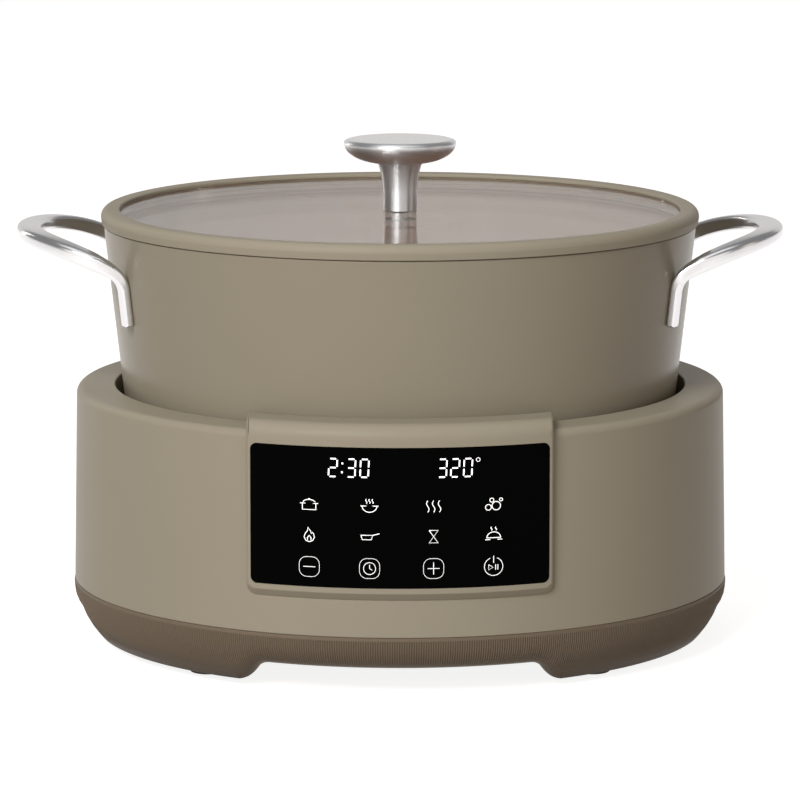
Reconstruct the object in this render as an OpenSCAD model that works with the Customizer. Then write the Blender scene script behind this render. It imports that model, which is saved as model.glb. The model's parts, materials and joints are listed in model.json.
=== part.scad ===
// Electric multicooker: a lift-out pot with a glass lid, on a heated round base with a touch panel.
// Millimetres. +Z is up, the panel faces -Y, and the origin is on the worktop under the pot's axis.

/* [Pot] */
// Outside radius of the pot at its top edge
pot_top_r = 138.9; // [125:0.1:150]
// Lean of the pot wall from the vertical, in degrees
pot_lean = 6.4; // [4:0.1:8]
// Height of the pot
pot_h = 130.5; // [120:0.5:145]
// Thickness of the pot wall
pot_wall = 3; // [2.5:0.1:4]
// Thickness of the pot floor
pot_floor = 4.5; // [3.5:0.1:6]
// Outside radius where the pot wall turns into the floor
pot_corner_r = 14; // [11:0.5:17]

/* [Pot handles] */
// Distance between the middles of a handle's two feet
handle_span = 109.2; // [100:0.2:118]
// How far a handle stands out past the top edge of the pot
handle_reach = 41; // [36:0.2:50]
// How far the lower end of a handle's foot lies below the pot's top edge
handle_drop = 41.5; // [39:0.5:47]
// Length of the flat foot that lies on the pot wall
handle_foot = 16; // [15:0.5:18]
// Width of a handle's foot
foot_bar_w = 7; // [6.4:0.1:8.4]
// Thickness of a handle's foot
foot_bar_t = 4.2; // [3.8:0.1:5]
// Width of the grip at the outer end of a handle
grip_w = 13; // [11:0.1:15]
// Thickness of the grip
grip_t = 7; // [6.5:0.1:9]
// Distance between the two rivets in one foot
rivet_pitch = 9; // [8:0.2:10]
// Radius of a rivet's shank
rivet_r = 2; // [1.6:0.1:2.4]

/* [Lid] */
// How far the lid's rim stands out past the pot
rim_over = 1.3; // [0.6:0.1:3]
// Height of the lid's rim above the pot's edge
rim_h = 7.3; // [6.5:0.1:10]
// Width of the rim's top, seen from above
rim_w = 8.9; // [8:0.1:11]
// How far the rim's seal reaches down into the pot
seal_drop = 4.6; // [3.5:0.1:7]
// Thickness of the rim's seal
seal_t = 2.4; // [2:0.1:3]
// Thickness of the lid's glass
glass_t = 4; // [3:0.1:5]
// How far the glass lies below the crest of the rim
glass_sunk = 2.2; // [1.2:0.1:3]

/* [Knob] */
// Radius of the knob's head
knob_r = 26.4; // [22:0.1:30]
// Height of the knob
knob_h = 33; // [28:0.1:40]
// Height of the knob's head
knob_head_h = 11.3; // [9.5:0.1:13]
// Radius of the knob's stem
stem_r = 7.6; // [6.5:0.1:9]
// Thickness of the seal between the stem and the glass
gasket_t = 0.8; // [0.5:0.1:1.5]
// Radius of the screw that holds the knob
knob_screw_r = 2.5; // [2:0.1:3]
// Thickness of the washer under the glass
washer_t = 1.2; // [0.8:0.1:2]

/* [Base housing] */
// Height of a rubber foot under the base
foot_h = 3.5; // [2.5:0.1:6]
// Radius of a rubber foot
foot_r = 9; // [7:0.1:10]
// Distance of the feet's middles in from the seam
foot_inset = 25.5; // [20:0.1:30]
// Height of the dark skirt at the bottom of the base
skirt_h = 24.5; // [22:0.1:28]
// How far the skirt draws in at its lower edge
skirt_tuck = 10.3; // [6:0.1:11]
// Height of the arches under the skirt
arch_h = 9.6; // [7.5:0.1:10.5]
// Width of the front and rear arch at the top
arch_w = 124; // [112:1:128]
// Width of the arch at each side at the top
side_arch_w = 62; // [50:1:66]
// Run of the slope at each end of an arch
arch_run = 8; // [7:0.5:10]
// Radius of an arch's corners
arch_corner_r = 4; // [2.5:0.1:5]
// Rounding of the skirt's lower edge over the arches
arch_edge_r = 8; // [5:0.1:9]
// Height of the shell above the skirt
shell_h = 91; // [84:0.1:100]
// Width of the ring between the pot's opening and the outside of the shell
ring_w = 18.1; // [16.5:0.1:20]
// How far the ring rises towards the pot's opening
ring_rise = 0.6; // [0:0.1:1.2]
// Draft of the shell's wall, in degrees
shell_draft = 1.07; // [0.5:0.01:2]
// Thickness of the shell's wall
shell_wall = 3; // [2.5:0.1:3.5]
// Radius of the shell's shoulder
shoulder_r = 3.8; // [3:0.1:6]
// Space between the pot and the edge of the shell's opening
pot_gap = 3.7; // [3:0.1:5]
// Thickness of the skirt's wall and of the bottom
pan_wall = 2.5; // [2:0.1:3]

/* [Panel] */
// Width of the dark panel window
lens_w = 133.2; // [126:0.2:140]
// Height of the dark panel window
lens_h = 63.3; // [60:0.1:66]
// Thickness of the panel window
lens_t = 2.2; // [1.8:0.1:2.6]
// How far the bezel stands proud of the shoulder
bezel_proud = 4.3; // [4:0.1:6.5]
// Width of the bezel at each side of the window
bezel_side = 1.8; // [1.5:0.1:4]
// Height of the bezel below the window
bezel_foot = 5.7; // [5:0.1:8]
// Height of the bezel's hood above the shell
hood_h = 5.4; // [5:0.1:8]
// Height of the bezel's lower edge above the skirt
bezel_lift = 17.3; // [14:0.1:20]
// Distance between the columns of touch areas
touch_pitch_x = 27; // [25:0.5:28]
// Distance between the rows of touch areas
touch_pitch_z = 14; // [13:0.1:15]
// Radius of a touch pad
touch_r = 3; // [2.5:0.1:4]
// Width of a display
display_w = 26; // [22:0.5:28]
// Height of a display
display_h = 13; // [11:0.5:14]

/* [Heater] */
// Depth from the top of the shell to the heater plate
seat_depth = 54.7; // [50:0.1:58]
// Radius of the heater plate
plate_r = 111; // [106:0.5:113]
// Thickness of the heater plate
plate_t = 10; // [8:0.5:12]
// Radius of the heater's ring
tube_ring_r = 72; // [66:0.5:76]
// Radius of the heater's tube
tube_r = 4; // [3:0.1:4.5]
// Height of the spacers under the heater plate
spacer_h = 3.5; // [3:0.1:5]
// Radius of the temperature sensor's cap
cap_r = 14; // [12:0.1:16]
// Height of the sensor's cap
cap_h = 6; // [5:0.1:7]
// Travel of the sensor
sensor_travel = 4; // [2.5:0.1:4.5]
// Length of the sensor's spring when the sensor is pressed right down
spring_short_h = 18; // [16:0.1:20]

/* [Power] */
// Width of the power board
power_w = 90; // [80:1:96]
// Depth of the power board, front to back
power_d = 60; // [54:1:62]
// Width of the power inlet's mouth
inlet_mouth_w = 24.6; // [24:0.1:26]
// Height of the power inlet's mouth
inlet_mouth_h = 17; // [16.4:0.1:18]
// Depth of the power inlet's mouth
inlet_mouth_d = 16.5; // [15.5:0.1:17]

/* [Fits] */
// Space under the pot, so that it lifts out freely
seat_gap = 0.2; // [0.1:0.05:0.5]
// Space between the lid and the pot's edge
lid_gap = 0.3; // [0.2:0.05:0.6]
// Space around the lid's seal in the pot
seal_gap = 0.6; // [0.4:0.1:1]
// Space between pieces that are fitted together
fit = 0.1; // [0.05:0.01:0.2]
// Space around a piece that slides
slide_gap = 0.4; // [0.3:0.05:0.7]

/* [Hidden] */
$fn = 96;
arc_steps = 6;
taupe = [0.61, 0.58, 0.51];
dark_taupe = [0.40, 0.35, 0.31];
steel = [0.80, 0.80, 0.80];
pale_metal = [0.70, 0.71, 0.72];
silicone = [0.62, 0.58, 0.52];
rubber = [0.12, 0.12, 0.12];
black = [0.03, 0.03, 0.03];
board_green = [0.08, 0.30, 0.18];
copper = [0.72, 0.45, 0.25];

// Heights, from the worktop up
arch_z = foot_h + arch_h;
pan_top_z = arch_z + pan_wall;
seam_z = foot_h + skirt_h;
shell_top_z = seam_z + shell_h;
plate_z = shell_top_z - seat_depth;
plate_low_z = plate_z - plate_t;
liner_t = 0.8;
liner_top_z = plate_low_z - spacer_h;
liner_low_z = liner_top_z - liner_t;
pot_z = plate_z + seat_gap;
pot_floor_z = pot_z + pot_floor;
pot_top_z = pot_z + pot_h;
rim_z = pot_top_z + lid_gap;
crest_z = rim_z + rim_h;
glass_top_z = crest_z - glass_sunk;
glass_low_z = glass_top_z - glass_t;
stem_z = glass_top_z + gasket_t;
knob_top_z = stem_z + knob_h;

// Radii
opening_r = pot_r(shell_top_z) + pot_gap;
shell_top_r = opening_r + ring_w;
seam_r = shell_r(seam_z);
collar_h = 10;
collar_t = 2.5;
collar_z = shell_top_z - collar_h;
liner_r = opening_r + 0.2;
liner_out_r = liner_r + liner_t;
liner_hole_r = tube_ring_r + tube_r + 9;
fixing_r = (liner_hole_r + plate_r) / 2 - 2;
rim_r = pot_top_r + rim_over;
rim_in_r = rim_r - rim_w;
seal_z = pot_top_z - seal_drop;
seal_out_r = pot_inner_r(seal_z) - seal_gap;
seal_in_r = seal_out_r - seal_t;
glass_r = (rim_in_r + rim_r) / 2 - 0.4;
skirt_power = 2.4;
lobe_w = 48.6;
lobe_in_r = seam_r - lobe_w;
tongue_r = seam_r - shell_wall - 0.3;
foot_ring_r = seam_r - foot_inset;

// Panel
bezel_r = shell_top_r + bezel_proud;
bezel_z = seam_z + bezel_lift;
bezel_top_z = shell_top_z + hood_h;
bezel_w = lens_w + 2 * bezel_side;
lens_z = bezel_z + bezel_foot;
lens_front_r = bezel_r - 0.2;
lens_back_r = lens_front_r - lens_t;
lens_corner_r = 3;
board_t = 1.6;
board_y = -liner_out_r - 2;
board_front_y = board_y - board_t;
board_low_z = lens_z - 1;
board_top_z = lens_z + lens_h - 2;
board_half_w = sqrt(pow(shell_r(board_top_z) - shell_wall - 1.5, 2) - pow(board_front_y, 2));
post_x = board_half_w - 4.5;
post_low_z = board_low_z + 3.5;
post_high_z = board_top_z - 3.5;
post_r = 2.6;
touch_low_z = lens_z + 9;
touch_columns = [-1.5, -0.5, 0.5, 1.5];
display_z = touch_low_z + 2.5 * touch_pitch_z + 10.3;
display_x = 24;
window_half_w = post_x + post_r + 1.5;

// Power side
inlet_y = bezel_r;
inlet_w = inlet_mouth_w + 18;
inlet_h = inlet_mouth_h + 4;
inlet_z = seam_z + 6 + inlet_h / 2;
inlet_back_y = inlet_y - inlet_mouth_d - 3;
pin_w = 2;
pin_h = 4;
pin_x = 7;
pin_tip_y = inlet_y - 5;
pin_tail_y = inlet_back_y - 7;
pin_places = [[-pin_x, -3], [0, 1], [pin_x, -3]];
heater_pin_angles = [71, 109];
lead_r = 1.3;
lead_gap = 2.7;
lead_in = 18;
lead_drop = 14;
lead_y = tube_ring_r * sin(heater_pin_angles[0]);
power_y = lead_y + lead_in - power_d;
parts_rear_y = lead_y - lead_r - lead_gap;
power_low_z = pan_top_z + 5;
power_top_z = power_low_z + board_t;
power_holes = [for (x = [-1, 1], y = [0, 1])
    [x * (power_w / 2 - 5), power_y + 5 + y * (power_d - 10)]];
pillar_angles = [30, 150, 270];
spacer_angles = [90, 210, 330];
house_screw_in = 18.6;
house_screw_ring_r = seam_r - house_screw_in;
house_screw_angles = [22, 158, 202, 338];
house_boss_r = 5;
house_boss_h = 18;
house_seat_h = 6;
house_seat_z = seam_z - house_seat_h;
foot_angles = [47, 133, 227, 313];

// Sensor
cup_in_r = cap_r + slide_gap + 1.6;
cup_wall = 1;
cup_screw_ring_r = cup_in_r + cup_wall + 4;
small_screw_l = 6;
plunger_r = 5;
cap_low_z = plate_z - cap_h;
cup_low_z = cap_low_z - sensor_travel - spring_short_h;
clip_z = cup_low_z - cup_wall - 1.2;
fuse_y = -tube_ring_r + 22;
fuse_r = 2.5;
fuse_z = plate_low_z - fuse_r - fit;
spring_wire_r = 0.8;
spring_r = 9;
spring_turns = 5;

// Handle, worked out on the +X side
foot_angle = asin(handle_span / 2 / (pot_r(pot_top_z - handle_drop + handle_foot / 2) + foot_bar_t / 2));
foot_low_z = pot_top_z - handle_drop;
foot_top_z = foot_low_z + handle_foot;
handle_steps = 9;
section_sides = 14;
bend_out = 12.5;
bend_up = 12.4;
bend_in = 2.5;
leg_slope = 26;
leg_w = grip_w - 0.6;
leg_t = grip_t - 0.6;
rivet_depth = 2.6;
rivet_gap = 0.15;

// Outside radius of the pot wall at height z
function pot_r(z) = pot_top_r - (pot_top_z - z) * tan(pot_lean);
// Inside radius of the pot wall at height z
function pot_inner_r(z) = pot_r(z) - pot_wall / cos(pot_lean);
// Outside radius of the shell at height z
function shell_r(z) = shell_top_r + (shell_top_z - z) * tan(shell_draft);
// Outside radius of the skirt at height z
function skirt_r(z) = seam_r - skirt_tuck * pow((seam_z - z) / skirt_h, skirt_power);

function unit(v) = v / norm(v);
function flip_y(v) = [v[0], -v[1], v[2]];
function ease(t) = t * t * (3 - 2 * t);
function mix(a, b, t) = a + (b - a) * t;

// Points of the arc that rounds corner p between its neighbours a and b
function arc_at(a, p, b, r) =
    let (u = unit(a - p), v = unit(b - p), half = acos(u * v) / 2,
         middle = p + unit(u + v) * r / sin(half),
         from = p + u * r / tan(half) - middle,
         to = p + v * r / tan(half) - middle,
         start = atan2(from[1], from[0]),
         turn = (atan2(to[1], to[0]) - start + 540) % 360 - 180)
    [for (i = [0 : arc_steps])
        let (at = start + turn * i / arc_steps)
        middle + r * [cos(at), sin(at)]];

// Outline from corners [x, y, radius]
function outline(corners) =
    [for (i = [0 : len(corners) - 1])
        let (n = len(corners), c = corners[i],
             a = corners[(i + n - 1) % n], b = corners[(i + 1) % n],
             p = [c[0], c[1]])
        each c[2] == 0 ? [p] : arc_at([a[0], a[1]], p, [b[0], b[1]], c[2])];

// Rounded rectangle outline
function box_outline(w, low, high, r) =
    outline([[-w / 2, low, r], [w / 2, low, r], [w / 2, high, r], [-w / 2, high, r]]);

// Point on a curve with two control points
function curve(a, b, c, d, t) =
    a * pow(1 - t, 3) + b * 3 * t * pow(1 - t, 2) + c * 3 * t * t * (1 - t) + d * pow(t, 3);
// Direction of that curve
function curve_dir(a, b, c, d, t) =
    unit((b - a) * pow(1 - t, 2) + (c - b) * 2 * t * (1 - t) + (d - c) * t * t);

// Ring of points around a path, w wide along side and t thick across it
function ring(middle, dir, side, w, t, square) =
    let (up = unit(cross(dir, side)))
    [for (k = [0 : section_sides - 1])
        let (at = 360 * (k + 0.5) / section_sides, c = cos(at), s = sin(at))
        middle + side * (w / 2 * sign(c) * pow(abs(c), 2 / square))
               + up * (t / 2 * sign(s) * pow(abs(s), 2 / square))];

// Solid along a list of rings
module skin(rings) {
    n = len(rings[0]);
    last = len(rings) - 1;
    points = [for (r = rings) each r];
    sides = [for (i = [0 : last - 1], k = [0 : n - 1])
        let (a = i * n + k, b = i * n + (k + 1) % n)
        each [[a, b, b + n], [a, b + n, a + n]]];
    ends = [[for (k = [n - 1 : -1 : 0]) k], [for (k = [0 : n - 1]) last * n + k]];
    polyhedron(points, concat(sides, ends), convexity = 8);
}

// Solid of revolution from an outline in radius and height
module turned(corners) {
    rotate_extrude(convexity = 8) polygon(outline(corners));
}

// Prism along Y from an outline in X and Z
module along_y(points, from, to) {
    translate([0, to, 0]) rotate([90, 0, 0]) linear_extrude(to - from, convexity = 8) polygon(points);
}

// Prism along X from an outline in Y and Z
module along_x(points, from, to) {
    translate([from, 0, 0]) rotate([90, 0, 90]) linear_extrude(to - from, convexity = 8) polygon(points);
}

// Children turned to each angle at a radius
module around(angles, r) {
    for (a = angles) rotate([0, 0, a]) translate([r, 0, 0]) children();
}

// Tube or rod standing on height z
module rod(r, z, h) {
    translate([0, 0, z]) cylinder(r = r, h = h);
}

// Rod along Y
module rod_y(r, x, z, from, to) {
    translate([x, to, z]) rotate([90, 0, 0]) cylinder(r = r, h = to - from);
}

// Pan-head screw, its head standing on height z and its shank going up from there
module screw_up(shank_r, z, length) {
    rod(shank_r * 1.9, z - shank_r * 1.3, shank_r * 1.3);
    rod(shank_r, z - 0.2, length + 0.2);
}

// Wire along a curve from a to d
module wire(a, b, c, d, r, side) {
    skin([for (i = [0 : 12])
        ring(curve(a, b, c, d, i / 12), curve_dir(a, b, c, d, i / 12), side, 2 * r, 2 * r, 2)]);
}

// Lid
module lid_glass() {
    color([0.80, 0.86, 0.86, 0.45]) difference() {
        turned([[0, glass_low_z, 0], [glass_r, glass_low_z, 0.6],
                [glass_r, glass_top_z, 0.6], [0, glass_top_z, 0]]);
        rod(knob_screw_r + 1.2, glass_low_z - 1, glass_t + 2);
    }
}

module lid_rim() {
    groove_r = glass_r + fit;
    color(silicone) turned([
        [seal_out_r, rim_z, 0], [rim_r - 0.5, rim_z, 1], [rim_r, rim_z + rim_h * 0.45, 2],
        [rim_r - 0.6, crest_z, 3.6], [rim_in_r, crest_z - 0.5, 1],
        [rim_in_r, glass_top_z + fit, 0], [groove_r, glass_top_z + fit, 0],
        [groove_r, glass_low_z - fit, 0], [seal_in_r, glass_low_z - fit, 0.4],
        [seal_in_r, seal_z + 2.6, 0.4], [seal_in_r + 1, seal_z + 1.8, 0.3],
        [seal_in_r + 1, seal_z, 0.4], [seal_out_r, seal_z, 0.4]]);
}

module lid_knob() {
    head_z = knob_top_z - knob_head_h;
    edge_w = 4.4;
    edge_h = 1.9;
    wide_z = knob_top_z - edge_h;
    bowl_r = knob_r - stem_r - 0.4;
    bowl_h = knob_head_h - edge_h;
    color(steel) difference() {
        rotate_extrude(convexity = 8) polygon(concat(
            [[0, stem_z], [stem_r - 0.3, stem_z], [stem_r, stem_z + 0.3]],
            [for (i = [0 : 6]) let (t = i / 6)
                [stem_r + 2.9 * t * t, mix(head_z - 14, head_z + 0.1, t)]],
            [for (a = [72 : -9 : 0]) [knob_r - bowl_r * (1 - cos(a)), wide_z - bowl_h * sin(a)]],
            [for (a = [15 : 15 : 90]) [knob_r - edge_w * (1 - cos(a)), wide_z + edge_h * sin(a)]],
            [[0, knob_top_z]]));
        rod(knob_screw_r + fit, stem_z - 1, 15);
    }
}

module knob_gasket() {
    color(rubber) difference() {
        rod(stem_r - 0.6, glass_top_z, gasket_t);
        rod(knob_screw_r + 0.6, glass_top_z - 1, gasket_t + 2);
    }
}

module glass_washer() {
    color(steel) difference() {
        rod(knob_screw_r * 3, glass_low_z - washer_t, washer_t);
        rod(knob_screw_r + fit, glass_low_z - washer_t - 1, washer_t + 2);
    }
}

module knob_screw() {
    length = stem_z + 12 - glass_low_z + washer_t;
    color(pale_metal) screw_up(knob_screw_r, glass_low_z - washer_t, length);
}

// Place on the outside of the pot wall at height z, facing away from the wall
module on_wall(z, angle) {
    rotate([0, 0, angle]) translate([pot_r(z), 0, z]) rotate([0, 90 + pot_lean, 0]) children();
}

// Places of all rivets, on both handles
module rivet_places() {
    for (turn = [0, 180], side = [-1, 1], step = [-0.5, 0.5])
        on_wall((foot_low_z + foot_top_z) / 2 + step * rivet_pitch, turn + side * foot_angle) children();
}

// Pot
module pot_shell() {
    inner_corner_r = pot_corner_r - pot_wall;
    color(taupe) difference() {
        turned([
            [0, pot_z, 0], [pot_r(pot_z), pot_z, pot_corner_r],
            [pot_top_r, pot_top_z, 0.8], [pot_inner_r(pot_top_z), pot_top_z, 0.8],
            [pot_inner_r(pot_floor_z), pot_floor_z, inner_corner_r], [0, pot_floor_z, 0]]);
        rivet_places() rod(rivet_r + fit, -pot_wall - 3, pot_wall + 6);
    }
}

// Half of the handle's rings, from its foot to the outermost point of the grip
function handle_half() =
    let (off = rivet_gap + foot_bar_t / 2,
         out = [cos(foot_angle), sin(foot_angle), 0],
         lean_up = [sin(pot_lean) * out[0], sin(pot_lean) * out[1], cos(pot_lean)],
         low = out * (pot_r(foot_low_z) + off / cos(pot_lean)) + [0, 0, foot_low_z],
         top = out * (pot_r(foot_top_z) + off / cos(pot_lean)) + [0, 0, foot_top_z],
         leg = top + [bend_out, -bend_in, bend_up],
         tip = [pot_top_r + handle_reach - grip_w / 2, 0, pot_top_z - 2.6],
         leg_dir = unit([cos(leg_slope), -0.1, sin(leg_slope)]),
         leg_end = leg + leg_dir * 18,
         tip_side = tip + [0, handle_span * 0.3, 0],
         bend_low = top + lean_up * 7,
         bend_high = leg - leg_dir * 9)
    concat(
        [for (i = [0 : 2])
            ring(mix(low, top, i / 2), lean_up, [-out[1], out[0], 0], foot_bar_w, foot_bar_t, 4)],
        [for (i = [1 : handle_steps]) let (t = i / handle_steps, d = unit(mix(out, [1, 0, 0], ease(t))))
            ring(curve(top, bend_low, bend_high, leg, t), curve_dir(top, bend_low, bend_high, leg, t),
                 [-d[1], d[0], 0], mix(foot_bar_w, leg_w, ease(t)), mix(foot_bar_t, leg_t, t),
                 mix(4, 2.8, t))],
        [for (i = [1 : handle_steps]) let (t = i / handle_steps,
                dir = curve_dir(leg, leg_end, tip_side, tip, t),
                d = unit([dir[0], dir[1], 0]))
            ring(curve(leg, leg_end, tip_side, tip, t), dir,
                 [-d[1], d[0], 0], mix(leg_w, grip_w, t), mix(leg_t, grip_t, t), 2.8)]);

module handle() {
    half = handle_half();
    other = [for (i = [len(half) - 2 : -1 : 0]) [for (p = half[i]) flip_y(p)]];
    skin(concat(half, other));
}

module handle_right() {
    color(steel) difference() {
        handle();
        rivet_places() rod(rivet_r + fit, -1, rivet_gap + rivet_depth + 1);
    }
}

module handle_left() {
    color(steel) difference() {
        mirror([1, 0, 0]) handle();
        rivet_places() rod(rivet_r + fit, -1, rivet_gap + rivet_depth + 1);
    }
}

module handle_rivets() {
    head_h = 1.4;
    color(steel) rivet_places() {
        rod(rivet_r, -pot_wall - 1, pot_wall + 1 + rivet_gap + rivet_depth - 0.2);
        rod(rivet_r * 2, -pot_wall - rivet_gap - head_h, head_h);
    }
}

// Base housing
module outer_shell() {
    under_z = shell_top_z - shell_wall;
    color(taupe) difference() {
        union() {
            turned([
                [seam_r, seam_z, 0], [shell_top_r, shell_top_z, shoulder_r],
                [opening_r, shell_top_z + ring_rise, 0.8], [opening_r, collar_z, 0.4],
                [opening_r + collar_t, collar_z, 0.4], [opening_r + collar_t, under_z, 1.5],
                [shell_r(under_z) - shell_wall, under_z, 3], [seam_r - shell_wall, seam_z, 0]]);
            around(house_screw_angles, house_screw_ring_r) {
                rod(house_boss_r, seam_z, house_boss_h);
                translate([3, -1.5, seam_z + 3])
                    cube([house_screw_in - shell_wall - 2, 3, house_boss_h - 3]);
            }
        }
        along_y(box_outline(2 * window_half_w, board_low_z, board_top_z, 2),
                -bezel_r - 5, -shell_top_r * 0.8);
        along_y(inlet_outline(fit), shell_top_r * 0.8, bezel_r + 5);
        around(house_screw_angles, house_screw_ring_r) rod(1.6, seam_z - 1, house_boss_h - 3);
    }
}

function inlet_outline(grow) =
    box_outline(inlet_w + 2 * grow, inlet_z - inlet_h / 2 - grow, inlet_z + inlet_h / 2 + grow, 3);

function lens_outline(grow) =
    box_outline(lens_w + 2 * grow, lens_z - grow, lens_z + lens_h + grow, lens_corner_r);

module panel_bezel() {
    side = bezel_w / 2;
    color(taupe) difference() {
        union() {
            intersection() {
                turned([
                    [shell_r(bezel_z) + fit, bezel_z, 0], [bezel_r, bezel_z + 3.3, 0.6],
                    [bezel_r, bezel_top_z, 6.5], [opening_r + 1, bezel_top_z, 1.5],
                    [opening_r + 1, shell_top_z + ring_rise + fit, 0],
                    [shell_top_r + fit, shell_top_z + fit, shoulder_r]]);
                along_y(outline([[-side, bezel_z - 0.5, 5], [side, bezel_z - 0.5, 5],
                                 [side, bezel_top_z + 5, 0], [-side, bezel_top_z + 5, 0]]),
                        -bezel_r - 5, -opening_r * 0.6);
            }
            for (x = [-post_x, post_x], z = [post_low_z, post_high_z])
                intersection() {
                    rod_y(post_r, x, z, -bezel_r, board_front_y);
                    rod(lens_back_r - 0.3, z - 10, 20);
                }
        }
        intersection() {
            along_y(lens_outline(fit), -bezel_r - 5, -opening_r * 0.6);
            difference() {
                rod(bezel_r + 5, lens_z - 10, lens_h + 20);
                rod(lens_back_r - fit, lens_z - 11, lens_h + 22);
            }
        }
        for (x = [-post_x, post_x], z = [post_low_z, post_high_z])
            rod_y(1.1, x, z, board_front_y - 5, board_front_y + 1);
        for (x = touch_columns, row = [0 : 2])
            rod_y(touch_r + 0.6, x * touch_pitch_x, touch_low_z + row * touch_pitch_z,
                  -bezel_r, board_front_y);
        for (x = [-display_x, display_x])
            translate([x - display_w / 2 - 0.6, -bezel_r, display_z - display_h / 2 - 0.6])
                cube([display_w + 1.2, 25, display_h + 1.2]);
    }
}

module panel_lens() {
    color(black) intersection() {
        along_y(lens_outline(0), -bezel_r - 5, -opening_r * 0.6);
        difference() {
            rod(lens_front_r, lens_z - 10, lens_h + 20);
            rod(lens_back_r, lens_z - 11, lens_h + 22);
        }
    }
}

module control_board() {
    color(board_green) difference() {
        translate([-board_half_w, board_front_y, board_low_z])
            cube([2 * board_half_w, board_t, board_top_z - board_low_z]);
        for (x = [-post_x, post_x], z = [post_low_z, post_high_z])
            rod_y(1.5, x, z, board_front_y - 1, board_y + 1);
    }
}

module display(x) {
    deep = sqrt(pow(lens_back_r, 2) - pow(display_x + display_w / 2, 2)) - 0.6;
    color(black) translate([x - display_w / 2, -deep, display_z - display_h / 2])
        cube([display_w, deep + board_front_y, display_h]);
}

module time_display() {
    display(-display_x);
}

module heat_display() {
    display(display_x);
}

module touch_pads() {
    color(rubber) for (x = touch_columns, row = [0 : 2])
        intersection() {
            rod_y(touch_r, x * touch_pitch_x, touch_low_z + row * touch_pitch_z, -bezel_r, board_front_y);
            rod(lens_back_r - fit, lens_z, lens_h);
        }
}

module control_screws() {
    color(pale_metal) for (x = [-post_x, post_x], z = [post_low_z, post_high_z]) {
        rod_y(1, x, z, board_front_y - 4.5, board_y + 0.2);
        rod_y(2.2, x, z, board_y, board_y + 1.4);
    }
}

// Outline of an arch, w wide at its top and grown all round
function arch_outline(w, grow) =
    let (top = arch_z + grow, low = foot_h - 0.05, half = w / 2 + grow, foot = half + arch_run)
    outline([
        [-foot - 12, low - 8, 0], [-foot - 12, low, 0], [-foot, low, arch_corner_r],
        [-half, top, arch_corner_r], [half, top, arch_corner_r], [foot, low, arch_corner_r],
        [foot + 12, low, 0], [foot + 12, low - 8, 0]]);

module arches(grow) {
    along_y(arch_outline(arch_w, grow), -bezel_r, bezel_r);
    along_x(arch_outline(side_arch_w, grow), -bezel_r, bezel_r);
}

// Outside curve of the skirt, from height low up to the seam, drawn in by inset
function skirt_curve(low, inset) =
    [for (i = [0 : 10]) let (z = mix(low, seam_z, i / 10)) [skirt_r(z) - inset, z]];

module base_pan() {
    color(dark_taupe) difference() {
        union() {
            difference() {
                rotate_extrude(convexity = 8) polygon(concat(
                    [[0, arch_z]], skirt_curve(arch_z, 0),
                    [[tongue_r, seam_z], [tongue_r, seam_z + 2.5], [tongue_r - 2, seam_z + 2.5],
                     [tongue_r - 2, seam_z - 4]],
                    [[skirt_r(pan_top_z) - pan_wall - 2, pan_top_z], [0, pan_top_z]]));
                lobe_pockets();
            }
            difference() {
                rotate_extrude(convexity = 8) polygon(concat(
                    [[lobe_in_r, foot_h]], skirt_curve_low(), [[lobe_in_r, arch_z + 1]]));
                arches(0);
                lobe_pockets();
            }
            around(house_screw_angles, house_screw_ring_r)
                rod(house_boss_r + 1, foot_h + 0.5, skirt_h - 0.5);
            around(pillar_angles, fixing_r) rod(5, pan_top_z - 0.5, liner_low_z - pan_top_z + 0.5);
            for (p = power_holes) translate(p) rod(3, pan_top_z - 0.5, power_low_z - pan_top_z + 0.5);
        }
        around(foot_angles, foot_ring_r) rod(foot_r + fit, foot_h - 1, 2.2);
        around(house_screw_angles, house_screw_ring_r) {
            rod(4.2, foot_h - 1, house_seat_z - foot_h + 1);
            rod(2.2, foot_h, skirt_h + 1);
        }
        around(pillar_angles, fixing_r) rod(1.5, liner_low_z - 14, 15);
        for (p = power_holes) translate(p) rod(1.1, power_low_z - 4, 5);
        for (x = [-3 : 3]) translate([x * 9 - 1.5, -78, arch_z - 1]) cube([3, 44, pan_wall + 2]);
        arch_rounding();
    }
}

// What the rounding of the skirt's edge takes away over the arches
module arch_rounding() {
    r = arch_edge_r;
    wide_r = skirt_r(arch_z + r);
    intersection() {
        rotate_extrude(convexity = 8) polygon(concat(
            [[seam_r + 2, arch_z - 1], [seam_r + 2, arch_z + r]],
            [for (a = [0 : 15 : 90]) [wide_r - r * (1 - cos(a)), arch_z + r * (1 - sin(a))]],
            [[wide_r - r, arch_z - 1]]));
        union() {
            translate([-arch_w / 2, -bezel_r, arch_z - 1]) cube([arch_w, 2 * bezel_r, r + 1]);
            translate([-bezel_r, -side_arch_w / 2, arch_z - 1]) cube([2 * bezel_r, side_arch_w, r + 1]);
        }
    }
}

// Outside curve of the skirt below the arches' tops
function skirt_curve_low() =
    [for (i = [0 : 5]) let (z = mix(foot_h, arch_z + 1, i / 5)) [skirt_r(z), z]];

// Hollow inside the four lobes that the base stands on
module lobe_pockets() {
    low = foot_h + pan_wall;
    difference() {
        rotate_extrude(convexity = 8) polygon(concat(
            [[lobe_in_r + pan_wall, low]],
            [for (i = [0 : 5]) let (z = mix(low, pan_top_z + 1, i / 5)) [skirt_r(z) - pan_wall - 1, z]],
            [[lobe_in_r + pan_wall, pan_top_z + 1]]));
        arches(pan_wall);
    }
}

module rubber_foot(angle) {
    color(rubber) rotate([0, 0, angle]) translate([foot_ring_r, 0, 0])
        turned([[0, 0, 0], [foot_r - 0.6, 0, 1], [foot_r, foot_h, 0], [foot_r, foot_h + 1.2, 0],
                [0, foot_h + 1.2, 0]]);
}

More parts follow.
